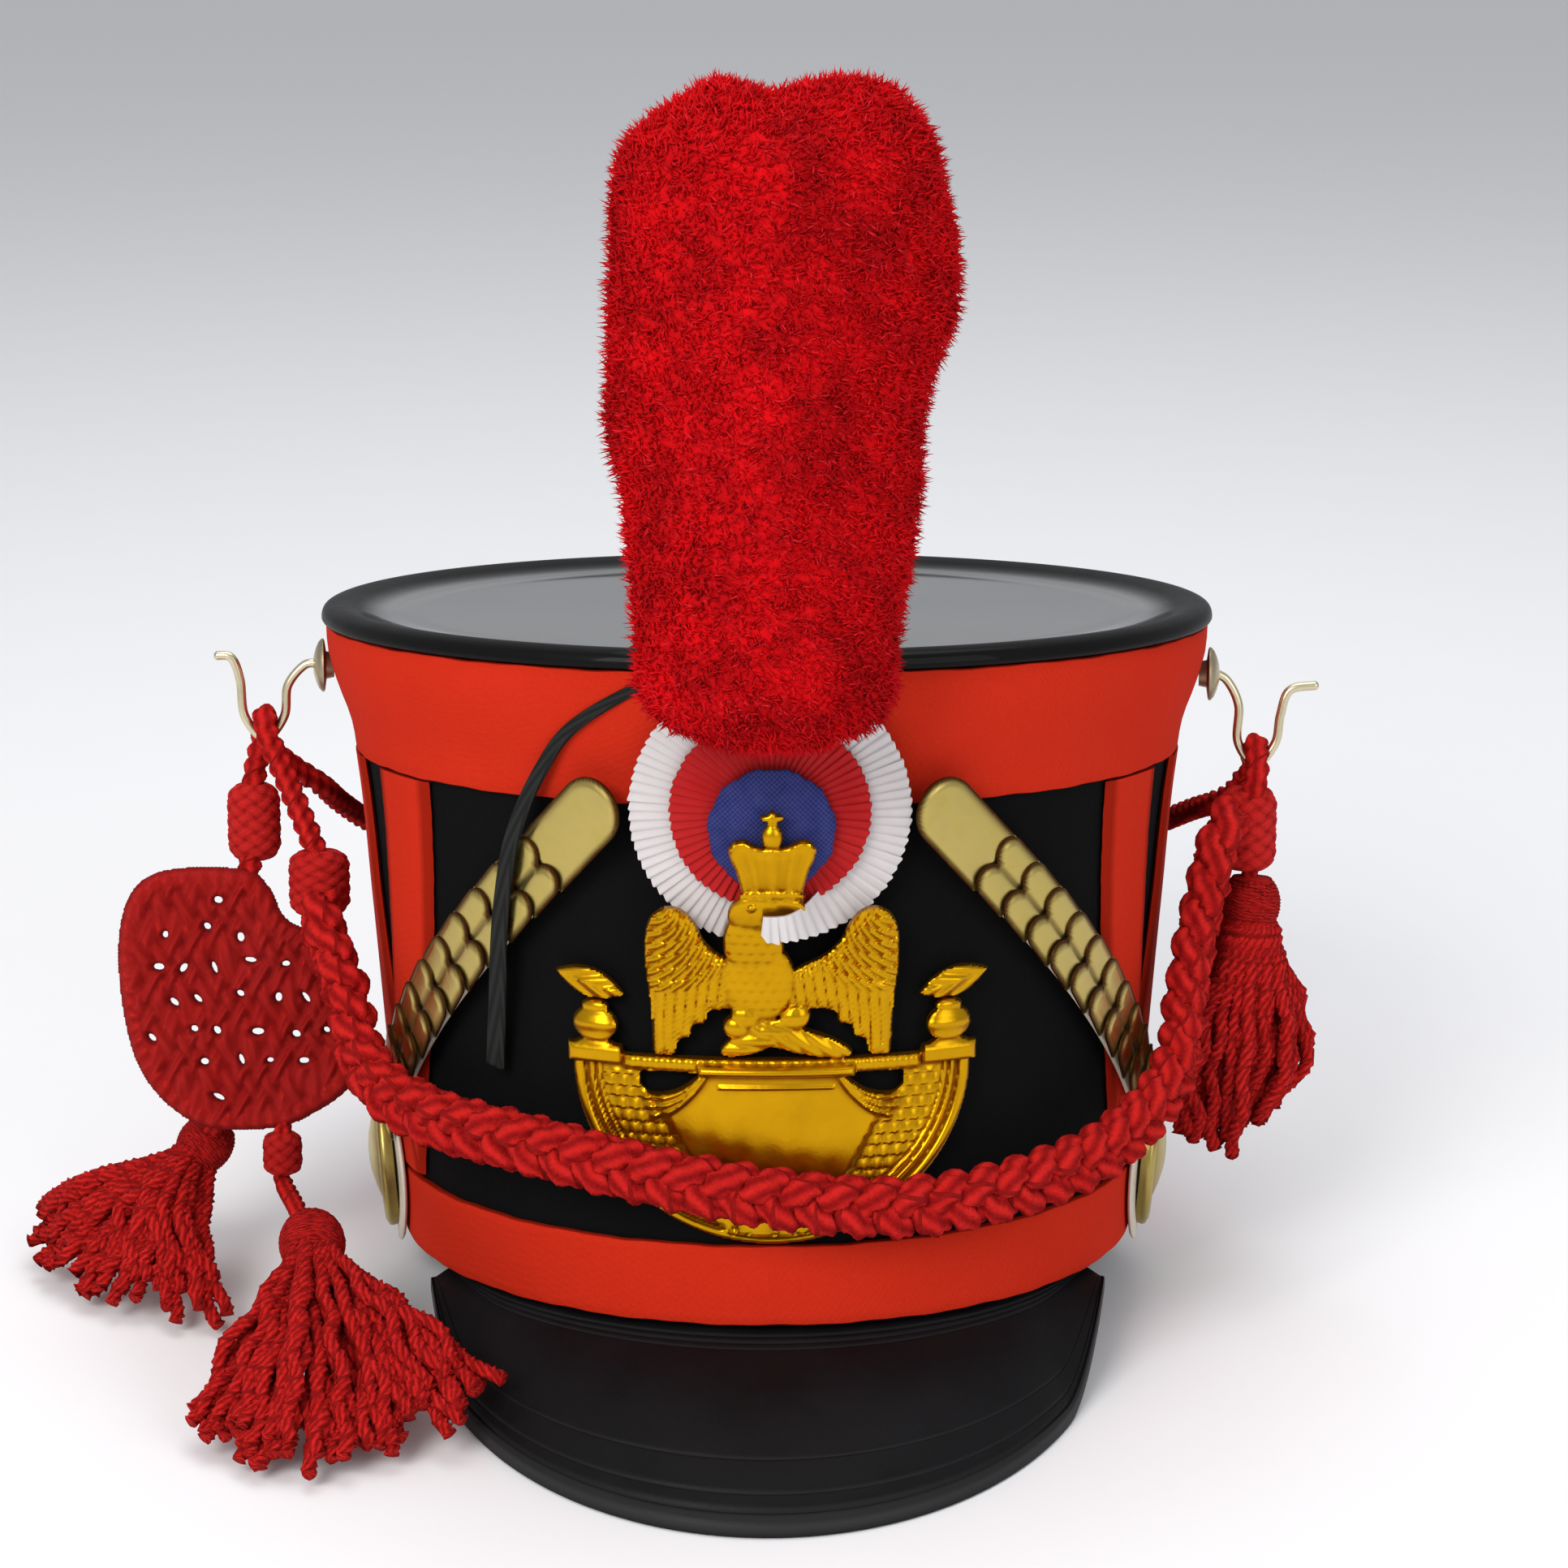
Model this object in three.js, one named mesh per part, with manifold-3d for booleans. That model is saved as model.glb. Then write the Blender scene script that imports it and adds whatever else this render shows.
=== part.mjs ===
// A felt shako with red cloth bands, leather crown and peak, pleated cockade, eagle plate,
// scaled chin straps, wool plume and hanging cords with a netted pad and tassels.
// The hat is modelled upright about its own axis with its front towards -Y, and then leans
// back a little, because it stands on the edge of its peak and the back of its rim.
import * as THREE from "three";
import { mergeVertices } from "three/addons/utils/BufferGeometryUtils.js";
import { TessellateModifier } from "three/addons/modifiers/TessellateModifier.js";
import Module from "manifold-3d";

const wasm = await Module();
wasm.setup();

// Driving dimensions of the felt wall, in millimetres
const WALL = [
  { z: 0, halfWidth: 96, halfDepth: 101.3 },
  { z: 26, halfWidth: 98, halfDepth: 102.8 },
  { z: 90, halfWidth: 103, halfDepth: 105 },
  { z: 126, halfWidth: 106.2, halfDepth: 106.8 },
  { z: 138, halfWidth: 108, halfDepth: 108 },
  { z: 148, halfWidth: 111.5, halfDepth: 111.5 },
  { z: 156, halfWidth: 113.6, halfDepth: 113.6 },
  { z: 163, halfWidth: 114, halfDepth: 114 },
];
const RIM_REAR = WALL[0].halfDepth;
const FELT = 2;
const CLOTH = 1.6;
const SEAT_GAP = 0.35;
const AROUND = 30;

// Driving dimensions of the bands and the crown's leather
const UPPER_BAND_LOW = 130;
const UPPER_BAND_TOP = 162.9;
const LOWER_BAND_LOW = 1;
const LOWER_BAND_TOP = 21.5;
const CROWN_PROFILE = [
  { r: 0, z: 163.4 },
  { r: 116.4, z: 163.4 },
  { r: 117, z: 165 },
  { r: 116, z: 167 },
  { r: 113, z: 168 },
  { r: 109, z: 167.4 },
  { r: 103, z: 165.7 },
  { r: 97, z: 165.1 },
  { r: 0, z: 165.1 },
];

// Driving dimensions of the peak: its edge is an ellipse that lies on the ground
const PEAK_EDGE = { halfWidth: 88, centreY: -35, halfDepth: 118 };
const PEAK_REACH = PEAK_EDGE.halfDepth - PEAK_EDGE.centreY;
const PEAK_DROP = 34;
const PEAK_THICK = 2.8;
const PEAK_CROWN = 4;
const PEAK_ROOT_ANGLE = THREE.MathUtils.degToRad(60);
const PEAK_EDGE_ANGLE = THREE.MathUtils.degToRad(80);

// The stance: peak edge and back of the rim on the ground, the whole hat centred over the origin
const TILT = Math.atan2(PEAK_DROP, PEAK_REACH + RIM_REAR);
const STAND_Y = 9.2;
const GROUND_AT_AXIS = -RIM_REAR * Math.tan(TILT);

// Driving dimensions of the chevrons, straps, scales and bosses
const CHEVRON_WIDTH = 17;
const CHEVRON_LEGS = [
  [{ z: 23, angle: 71 }, { z: 90, angle: 61 }, { z: 129.4, angle: 58.5 }],
  [{ z: 23, angle: 71 }, { z: 90, angle: 81 }, { z: 129.4, angle: 82.5 }],
];
const BOSS = { angle: 84, z: 20, radius: 20, leather: 24 };
const STRAP = { tipAngle: 21, tipZ: 129.5, width: 14, thick: 1.4, lift: 2.7 };
const BOSS_PROFILE = [
  { r: 0, z: 0 }, { r: BOSS.radius, z: 0 }, { r: BOSS.radius, z: 1.6 }, { r: 16.5, z: 2.4 },
  { r: 14, z: 1.9 }, { r: 9, z: 4.2 }, { r: 0, z: 5.6 },
];
const SCALE = { count: 11, width: 17, length: 14, thick: 0.6, tipLength: 24 };
const UNROLLED = 101.8;

// Driving dimensions of the cockade
const COCKADE = { x: 0.5, z: 130, bend: 0.8, radius: 107 };
const ROSETTES = [
  { name: "cockade_white", inner: 22, outer: 33.5, layer: 0, thick: 1.5, pleats: 18 },
  { name: "cockade_red", inner: 12.5, outer: 24, layer: 2.2, thick: 1.5, pleats: 16 },
];
const COCKADE_BUTTON = { radius: 15, layer: 5.2, thick: 2.6, drop: 7 };

// Driving dimensions of the eagle plate
const PLATE_LEAN = [
  { z: 20, y: 103.7 },
  { z: 66, y: 105.5 },
  { z: 76, y: 106.2 },
  { z: 96, y: 109.4 },
  { z: 106, y: 113.8 },
  { z: 116, y: 118.7 },
  { z: 124, y: 121.4 },
  { z: 131, y: 122.2 },
];
const PLATE_RADIUS = 104;
const PLATE_EDGE = 27;
const SHIELD = { x: 1, top: 66, halfWidth: 48, depth: 43.5, thick: 1.6, border: 3, raised: 2.8 };
const SHIELD_WINDOW = { out: 26.5, z: 62.4, halfWidth: 6.6, halfHeight: 2.6, turn: 0.25 };
const SHIELD_BAR = { left: -50, right: 52, low: 65.2, top: 69.4, height: 3.6 };
const FEATHER = { count: 5, first: 10, pitch: 4.3, top: 97, halfWidth: 3, shortest: 8, grow: 1.8, turn: 0.03 };
const FEATHER_HEIGHT = { even: 2, odd: 2.3 };
// Ovals of the plate on its middle line and in mirrored pairs: place, half sizes, height and turn
const PLATE_MIDDLE = [
  { part: "shield boss", x: 1, z: 50, wide: 25, tall: 15.5, height: 2.6, turn: 0, segments: 6 },
  { part: "thunderbolt", x: 4, z: 77, wide: 9, tall: 5.6, height: 3.2, turn: -0.5, segments: 3 },
  { part: "body", x: -1.5, z: 89, wide: 9.6, tall: 14.5, height: 3.6, turn: 0, segments: 4 },
  { part: "breast", x: -1.2, z: 89.5, wide: 6.6, tall: 11.5, height: 5, turn: 0, segments: 3 },
  { part: "head", x: 1, z: 104.5, wide: 5.4, tall: 6, height: 5, turn: 0, segments: 4 },
  { part: "beak", x: 6.4, z: 106.4, wide: 3.4, tall: 1.7, height: 4.2, turn: 0.15, segments: 3 },
  { part: "crown band", x: 1, z: 111, wide: 6.8, tall: 1.7, height: 3.4, turn: 0, segments: 3 },
  { part: "crown orb", x: 1, z: 125.4, wide: 2.3, tall: 2.3, height: 3, turn: 0, segments: 3 },
  { part: "cross post", x: 1, z: 128.6, wide: 0.9, tall: 2.4, height: 2.2, turn: 0, segments: 3 },
  { part: "cross arm", x: 1, z: 128.9, wide: 2.2, tall: 0.8, height: 2.2, turn: 0, segments: 3 },
];
const PLATE_PAIRS = [
  { part: "urn foot", out: 44, z: 70.5, wide: 5.6, tall: 2.2, height: 3, turn: 0 },
  { part: "urn", out: 44, z: 75.5, wide: 5, tall: 4, height: 3.4, turn: 0 },
  { part: "urn neck", out: 44, z: 80, wide: 2, tall: 3.4, height: 2.4, turn: 0 },
  { part: "flame", out: 45.5, z: 85.2, wide: 8.6, tall: 2.7, height: 2.4, turn: 0.2 },
  { part: "wing shoulder", out: 19.5, z: 98.5, wide: 11.2, tall: 7.2, height: 3.2, turn: -0.25 },
  { part: "claw", out: 8, z: 74.5, wide: 10, tall: 2.5, height: 4, turn: 0.22 },
];
const CROWN_HEIGHT = 2.4;
const CROWN_CURVES = [
  { throughX: 12.5, throughZ: 116, x: 11, z: 121.5 },
  { throughX: 7, throughZ: 125.5, x: 1, z: 123.6 },
  { throughX: -5, throughZ: 125.5, x: -9, z: 121.5 },
  { throughX: -10.5, throughZ: 116, x: -5.5, z: 109 },
];
const CROWN_FOOT = { left: -5.5, right: 7.5, z: 109 };

// Driving dimensions of the plume: a row for each section, left and right of the axis and
// in front of and behind the line of the stem
const PLUME = [
  { z: 150, left: 22, right: 21, front: 13, back: 10 },
  { z: 158, left: 31, right: 28, front: 19, back: 14.5 },
  { z: 190, left: 32, right: 31, front: 24, back: 18 },
  { z: 226, left: 35, right: 35, front: 26, back: 24 },
  { z: 260, left: 35, right: 38, front: 27, back: 26 },
  { z: 280, left: 31, right: 37, front: 25, back: 24 },
  { z: 291, left: 22, right: 28, front: 17, back: 17 },
];
const PLUME_Y = -137;
const PLUME_SIDES = 14;
const PLUME_TUFT = { radius: 15, perRow: 6, from: 166, to: 282, rows: 6, reach: 0.7 };
const PLUME_TOP = { x: 3, z: 283 };
const STEM_THICK = 1.6;
const STEM_HALF_WIDTH = 5;
const STEM_FOOT = { depth: 12, height: 7 };
const STEM = [
  { z: 112, out: 2.4 },
  { z: 130, out: 2.4 },
  { z: 138, out: 2.4 },
  { z: 148, out: 2.4 },
  { z: 156, out: 2.6 },
  { z: 163, out: 3.5 },
  { z: 173, out: 3.5 },
];

// Driving dimensions of the hooks, cords and hanging pieces
const HOOK_WIRE = 1.2;
const LOOP_CORD = 2.5;
const BRAID = 7;
const REAR_CORD = 3;
const LACE = { top: 2.8, end: 5.2, thick: 1.2 };
const PAD_THICK = 8;
const STRAND = 3.4;

const HOOKS = {
  left: { base: [-115.6, -14, 151.5], wire: [
    [-117, -14, 152], [-121, -14, 151.4], [-125.4, -14, 146], [-126.5, -14, 138], [-131.6, -14, 132.2],
    [-136.8, -14, 138], [-137.8, -14, 147.5], [-140, -14, 153.4], [-144.4, -14, 154]] },
  right: { base: [115.4, -14, 149], wire: [
    [116.8, -14, 149.5], [120.6, -14, 147], [123.6, -14, 140.5], [123.6, -14, 131], [128.4, -14, 124.9],
    [133.4, -14, 130.6], [134.6, -14, 138], [137, -14, 144.6], [144.4, -14, 146]] },
};
const HOOK_BASE = [{ r: 0, z: 0 }, { r: 7, z: 0 }, { r: 6, z: 1.6 }, { r: 0, z: 3 }];

// Loops of cord over the hooks, wound slides and the netted pad
const LOOPS = {
  left: [
    [-118.4, -23, 105], [-121.6, -21.6, 113], [-127, -20, 126], [-130.2, -18.8, 133.4],
    [-131.6, -14, 138.2], [-132.6, -9.2, 133.4], [-134.4, -9.4, 126], [-135.2, -11, 120.6]],
  right: [
    [127.6, -18.4, 119.8], [128.2, -19, 125.4], [128.4, -14, 130.3], [128.2, -9, 125.4],
    [127.6, -9.6, 119.8]],
};
const SLIDES = [
  { name: "slide_left_upper", at: [-135.4, -12, 109.7], radius: 7, height: 20 },
  { name: "slide_left_lower", at: [-117, -24, 95.6], radius: 8, height: 16.8 },
  { name: "slide_right", at: [126.8, -14, 108], radius: 7.5, height: 22 },
  { name: "pad_knot", at: [-128, -26.4, 23.4], radius: 5.2, height: 11 },
];
const PAD = { at: [-139, -22.6, 64], lean: -5, gaps: 2.1, pitch: 11.5 };
const PAD_OUTLINE = [
  [0.6, 34.6], [-23.5, 32.5], [-31.4, 15], [-27.3, -16], [-13, -32.3], [5, -34.5],
  [18, -31], [30.5, -20], [30.5, 4], [24, 16], [13, 21], [8, 30],
];

// Routes of the braid across the front, of the cord round the back and of the lace
const BRAID_ROUTE = [
  [-116, -31, 86.4], [-112.5, -36.5, 79], [-107.8, -42.6, 68.5], [-104.4, -51, 57.4], [-95.5, -64.5, 49.6],
  [-80.5, -82, 47], [-63.2, -96.2, 46.2], [-36.8, -109.9, 43], [-13, -115.4, 39], [10.4, -115.4, 35.5],
  [34.2, -110.2, 33], [59, -98.4, 34], [80.6, -81.6, 37.6], [95.4, -65.4, 44.2], [104.2, -52, 53.4],
  [107.6, -40.5, 64], [109.8, -34.4, 75], [112.4, -30, 86], [115.2, -27.4, 97], [117.4, -26, 110],
];
const REAR_ROUTE = [
  [-131.6, -5.8, 128], [-126.8, 0.8, 122.4], [-120, 8, 116], [-116.2, 22, 108.6], [-110, 40, 100],
  [-99, 58.6, 92], [-81, 78.4, 85], [-58, 94.8, 80], [-30, 106, 77], [0, 109.8, 76],
  [30, 106, 77], [58, 94.8, 80], [81, 78.4, 85], [99, 58.6, 92], [110, 40, 100],
  [116.2, 22, 106.6], [120.4, 8, 111], [124.4, 0.6, 115], [126.9, -3.9, 119.8],
];
const LACE_ROUTE = [
  { angle: -16.4, z: 158, out: 2.5 }, { angle: -21, z: 152.6, out: 2.5 }, { angle: -25.4, z: 146, out: 2.8 },
  { angle: -28.6, z: 138, out: 4.4 }, { angle: -31, z: 129, out: 6.6 }, { angle: -33.2, z: 118, out: 8 },
  { angle: -34.8, z: 106, out: 8 }, { angle: -36.2, z: 94, out: 7.2 }, { angle: -37.4, z: 83, out: 6 },
  { angle: -38.8, z: 72, out: 4.6 }, { angle: -40.2, z: 61, out: 3.4 },
];

// Tassels: those that lie are placed from the ground, the other from the hat
const TASSELS = [
  { name: "tassel_left_rear", lies: true, head: [-151, 2, 36], radius: 7.5, stalk: [-146.3, -6.6, 46.3],
    ends: [[-203, 8, 4], [-196, -12, 4], [-182, -28, 4], [-166, -37, 4], [-151, -42, 4],
      [-140, -38, 4], [-186, 8, 18], [-168, -18, 20]] },
  { name: "tassel_left_front", lies: true, head: [-116, -51, 31], radius: 8.5, stalk: [-128, -14.6, 32.3],
    ends: [[-139, -108, 4], [-123, -121, 4], [-106, -124, 4], [-90, -118, 4.4],
      [-76, -111, 9], [-63.5, -103, 19], [-122, -104, 17], [-100, -106, 18]] },
  { name: "tassel_right", lies: false, head: [127.6, -15.5, 88], radius: 8, stalk: [127.2, -14.4, 96.6],
    ends: [[109.6, -33, 27], [118, -32, 22.4], [126, -28, 21.6], [134, -21, 25],
      [140.6, -12, 38], [134, -4, 29], [124, -2, 26], [116, -12, 27]] },
];

const deg = THREE.MathUtils.degToRad;

// One closed body with welded corners and its faces turned outwards
function closed(geometry) {
  const bare = geometry.clone();
  bare.deleteAttribute("normal");
  bare.deleteAttribute("uv");
  const welded = mergeVertices(bare, 1e-4);
  const corner = welded.attributes.position;
  const [p, q, r] = [new THREE.Vector3(), new THREE.Vector3(), new THREE.Vector3()];
  const faces = [];
  let volume = 0;
  for (let i = 0; i < welded.index.count; i += 3) {
    const [a, b, c] = [0, 1, 2].map((k) => welded.index.getX(i + k));
    if (a === b || b === c || c === a) continue;
    faces.push(a, b, c);
    q.fromBufferAttribute(corner, b);
    r.fromBufferAttribute(corner, c);
    volume += p.fromBufferAttribute(corner, a).dot(q.cross(r));
  }
  welded.setIndex(volume < 0 ? faces.reverse() : faces);
  return welded;
}

function toManifold(geometry) {
  const body = closed(geometry);
  return new wasm.Manifold(new wasm.Mesh({
    numProp: 3,
    vertProperties: new Float32Array(body.attributes.position.array),
    triVerts: new Uint32Array(body.index.array),
  }));
}

function fuse(geometries) {
  const whole = geometries.map(toManifold).reduce((sum, next) => sum.add(next));
  const mesh = whole.getMesh();
  const body = new THREE.BufferGeometry();
  body.setAttribute("position", new THREE.BufferAttribute(new Float32Array(mesh.vertProperties), 3));
  body.setIndex(Array.from(mesh.triVerts));
  return body;
}

// A closed wall between an inner and an outer grid of points: point(u, v, side)
function slab(us, vs, point, ring = false) {
  const corners = [];
  for (const side of [0, 1]) {
    for (const u of us) {
      for (const v of vs) corners.push(...point(u, v, side).toArray());
    }
  }
  const faces = [];
  const at = (side, i, j) => (side * us.length + (i % us.length)) * vs.length + j;
  const quad = (a, b, c, d) => faces.push(a, b, c, a, c, d);
  const cells = ring ? us.length : us.length - 1;
  const last = vs.length - 1;
  for (let i = 0; i < cells; i += 1) {
    for (let j = 0; j < last; j += 1) {
      quad(at(1, i, j), at(1, i + 1, j), at(1, i + 1, j + 1), at(1, i, j + 1));
      quad(at(0, i, j), at(0, i, j + 1), at(0, i + 1, j + 1), at(0, i + 1, j));
    }
    quad(at(0, i, 0), at(0, i + 1, 0), at(1, i + 1, 0), at(1, i, 0));
    quad(at(1, i, last), at(1, i + 1, last), at(0, i + 1, last), at(0, i, last));
  }
  for (let j = 0; j < last && !ring; j += 1) {
    quad(at(1, 0, j), at(1, 0, j + 1), at(0, 0, j + 1), at(0, 0, j));
    quad(at(0, cells, j), at(0, cells, j + 1), at(1, cells, j + 1), at(1, cells, j));
  }
  return bodyFrom(corners, faces);
}

// A closed skin over a stack of rings, with a point closing each end
function loft(rings) {
  const corners = [];
  const faces = [];
  const sides = rings[0].length;
  rings.flat().forEach((point) => corners.push(...point.toArray()));
  for (let i = 0; i < rings.length - 1; i += 1) {
    for (let j = 0; j < sides; j += 1) {
      const [a, b] = [i * sides + j, i * sides + ((j + 1) % sides)];
      faces.push(a, b, b + sides, a, b + sides, a + sides);
    }
  }
  const tips = [rings[0], rings[rings.length - 1]];
  tips.forEach((ring, end) => {
    const middle = ring.reduce((sum, point) => sum.add(point), new THREE.Vector3());
    corners.push(...middle.divideScalar(sides).toArray());
    const centre = rings.length * sides + end;
    const first = end * (rings.length - 1) * sides;
    for (let j = 0; j < sides; j += 1) {
      const [a, b] = [first + j, first + ((j + 1) % sides)];
      faces.push(...(end ? [a, b, centre] : [b, a, centre]));
    }
  });
  return bodyFrom(corners, faces);
}

function bodyFrom(corners, faces) {
  const body = new THREE.BufferGeometry();
  body.setAttribute("position", new THREE.Float32BufferAttribute(corners, 3));
  body.setIndex(faces);
  return body;
}

const steps = (from, to, count) =>
  Array.from({ length: count + 1 }, (_, i) => from + ((to - from) * i) / count);
const aroundRing = (count) => steps(0, 2 * Math.PI, count).slice(0, count);
const mix = THREE.MathUtils.lerp;

// A value read from a table of rows that rise in z
function reading(rows, z, column) {
  const found = rows.findIndex((row) => row.z >= z);
  const upper = found < 0 ? rows.length - 1 : Math.max(found, 1);
  const [low, high] = [rows[upper - 1], rows[upper]];
  return mix(low[column], high[column], (z - low.z) / (high.z - low.z));
}

// A point on the felt's outside, or so far out from it; the angle runs from the front to the right
function onHat(angle, z, out = 0) {
  const x = (reading(WALL, z, "halfWidth") + out) * Math.sin(angle);
  const y = -(reading(WALL, z, "halfDepth") + out) * Math.cos(angle);
  return new THREE.Vector3(x, y, z);
}

const ground = (y) => GROUND_AT_AXIS + y * Math.tan(TILT);

function polygon(radius, sides) {
  return new THREE.Shape(aroundRing(sides).map(
    (turn) => new THREE.Vector2(radius * Math.cos(turn), radius * Math.sin(turn))));
}

function tube(points, radius, sides, count) {
  const route = new THREE.CatmullRomCurve3(points.map((point) => new THREE.Vector3(...point)));
  return new THREE.ExtrudeGeometry(polygon(radius, sides), { steps: count, extrudePath: route });
}

function turned(profile, segments) {
  const outline = profile.map((row) => new THREE.Vector2(row.r, row.z));
  return new THREE.LatheGeometry(outline, segments).rotateX(Math.PI / 2);
}

// A flat outline, thickened and then bent: long edges are halved first so that it bends smoothly
function bent(geometry, longest, place) {
  const fine = new TessellateModifier(longest, 9).modify(geometry);
  const corner = fine.attributes.position;
  for (let i = 0; i < corner.count; i += 1) {
    const moved = place(corner.getX(i), corner.getY(i), corner.getZ(i));
    corner.setXYZ(i, moved.x, moved.y, moved.z);
  }
  return fine;
}

const plain = (shape, depth, curveSegments = 3) =>
  new THREE.ExtrudeGeometry(shape, { depth, bevelEnabled: false, curveSegments });

function ellipse(x, y, radiusX, radiusY, turn = 0) {
  return new THREE.Shape().absellipse(x, y, radiusX, radiusY, 0, 2 * Math.PI, false, turn);
}

// Materials
const surface = (color, roughness, metalness = 0) =>
  new THREE.MeshStandardMaterial({ color, roughness, metalness });
const felt = surface(0x0b0a0c, 0.95);
const blackLeather = surface(0x17171a, 0.3);
const redCloth = surface(0xd2331c, 0.85);
const redYarn = surface(0xb81e18, 0.9);
const plumeWool = surface(0xc0101c, 0.95);
const whiteCloth = surface(0xe6e4e2, 0.85);
const blueCloth = surface(0x22307c, 0.8);
const brass = surface(0xd2a21c, 0.3, 1);
const paleBrass = surface(0xcdb772, 0.35, 1);
const whiteLeather = surface(0xd8d2c6, 0.6);

const hat = new THREE.Group();
hat.rotation.x = -TILT;
hat.position.set(0, STAND_Y, RIM_REAR * Math.sin(TILT));
const shako = new THREE.Group();
shako.add(hat);

function piece(name, geometry, material, parent = hat) {
  const mesh = new THREE.Mesh(closed(geometry), material);
  mesh.name = name;
  parent.add(mesh);
  return mesh;
}

// Felt wall, crown leather and cloth bands
const wallHeights = WALL.map((row) => row.z);
const ring = aroundRing(AROUND);

function wrap(heights, inside, outside) {
  return slab(ring, heights, (angle, z, side) => onHat(angle, z, side ? outside : inside), true);
}

piece("felt_body", wrap(wallHeights, -FELT, 0), felt);
piece("crown_top", turned(CROWN_PROFILE, AROUND), blackLeather);
const bandHeights = [
  UPPER_BAND_LOW,
  ...wallHeights.filter((z) => z > UPPER_BAND_LOW && z < UPPER_BAND_TOP),
  UPPER_BAND_TOP,
];
piece("upper_band", wrap(bandHeights, SEAT_GAP, SEAT_GAP + CLOTH), redCloth);
piece("lower_band", wrap([LOWER_BAND_LOW, LOWER_BAND_TOP], SEAT_GAP, SEAT_GAP + CLOTH), redCloth);

// Chevrons: a tape down to the apex beside the boss and up again, on each side
function chevron(sign) {
  const tapes = CHEVRON_LEGS.map((leg) => {
    const heights = steps(leg[0].z, leg[2].z, 4);
    return slab(steps(-0.5, 0.5, 2), heights, (u, z, side) => {
      const angle = deg(reading(leg, z, "angle")) + (CHEVRON_WIDTH * u) / UNROLLED;
      return onHat(sign * angle, z, SEAT_GAP + side * CLOTH);
    });
  });
  return fuse(tapes);
}

piece("chevron_left", chevron(-1), redCloth);
piece("chevron_right", chevron(1), redCloth);

// Peak: one leather piece from under the lower band down to its edge on the ground
function peakPoint(across, outward, side) {
  const root = onHat(across * PEAK_ROOT_ANGLE, 0, 0.8);
  const turn = across * PEAK_EDGE_ANGLE;
  const edge = new THREE.Vector3(
    PEAK_EDGE.halfWidth * Math.sin(turn),
    PEAK_EDGE.centreY - PEAK_EDGE.halfDepth * Math.cos(turn), 0);
  const ends = THREE.MathUtils.smoothstep(Math.abs(across), 0.72, 1);
  edge.z = mix(ground(edge.y) + PEAK_THICK, -SEAT_GAP - 2, ends);
  root.z = -SEAT_GAP;
  const swell = PEAK_CROWN * 4 * outward * (1 - outward) * (1 - across * across);
  const point = root.lerp(edge, outward);
  point.z += 0.75 * swell - (side ? 0 : PEAK_THICK);
  point.y -= 0.5 * swell;
  return point;
}

piece("peak", slab(steps(-1, 1, 18), steps(0, 1, 4), peakPoint), blackLeather);

// Cockade: two pleated rings and a domed button, lying over the felt and the upper band
function onCockade(x, z, out) {
  const rise = THREE.MathUtils.clamp((z - 97) / 31, 0, 1);
  const front = reading(WALL, z, "halfDepth") + 1 + 4.6 * rise;
  const y = -(front + out) + (COCKADE.bend * x * x) / (2 * COCKADE.radius);
  return new THREE.Vector3(x, y, z);
}

for (const rosette of ROSETTES) {
  const turns = aroundRing(rosette.pleats * 2);
  const radii = [rosette.inner, rosette.outer];
  const pleated = slab(turns, radii, (turn, radius, side) => {
    const fold = Math.round(turn / turns[1]) % 2;
    const x = COCKADE.x + radius * Math.cos(turn);
    const z = COCKADE.z + radius * Math.sin(turn);
    return onCockade(x, z, rosette.layer + 0.6 * fold + side * rosette.thick);
  }, true);
  piece(rosette.name, pleated, rosette.name === "cockade_white" ? whiteCloth : redCloth);
}

function cockadeButton() {
  const { radius, layer, thick, drop } = COCKADE_BUTTON;
  const rows = [
    { part: 1, up: 0 }, { part: 1, up: 0.5 }, { part: 0.8, up: 0.45 * thick }, { part: 0.4, up: thick },
  ];
  return loft(rows.map(({ part, up }) => aroundRing(16).map((turn) => {
    const x = COCKADE.x + radius * part * Math.cos(turn);
    const z = COCKADE.z - drop + radius * part * Math.sin(turn);
    return onCockade(x, z, layer + up);
  })));
}

piece("cockade_blue", cockadeButton(), blueCloth);

// Eagle plate: flat shapes of several heights are fused, then bent to the front of the hat
function shieldArc(shape, inset, from, to, clockwise) {
  return shape.absellipse(SHIELD.x, SHIELD.top, SHIELD.halfWidth - inset, SHIELD.depth - inset,
    from, to, clockwise, 0);
}

function shieldShapes() {
  const bowl = shieldArc(new THREE.Shape(), 0, Math.PI, 2 * Math.PI, false);
  for (const side of [-1, 1]) {
    const { out, z, halfWidth, halfHeight, turn } = SHIELD_WINDOW;
    bowl.holes.push(new THREE.Path().absellipse(
      SHIELD.x + side * out, z, halfWidth, halfHeight, 0, 2 * Math.PI, true, side * turn));
  }
  const rim = shieldArc(new THREE.Shape(), 0, Math.PI, 2 * Math.PI, false);
  shieldArc(rim, SHIELD.border, 2 * Math.PI, Math.PI, true);
  const bar = new THREE.Shape().moveTo(SHIELD_BAR.left, SHIELD_BAR.low);
  bar.lineTo(SHIELD_BAR.right, SHIELD_BAR.low);
  bar.lineTo(SHIELD_BAR.right, SHIELD_BAR.top);
  bar.lineTo(SHIELD_BAR.left, SHIELD_BAR.top);
  return [
    plain(bowl, SHIELD.thick, 5),
    plain(rim, SHIELD.raised, 5),
    plain(bar, SHIELD_BAR.height),
  ];
}

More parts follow.
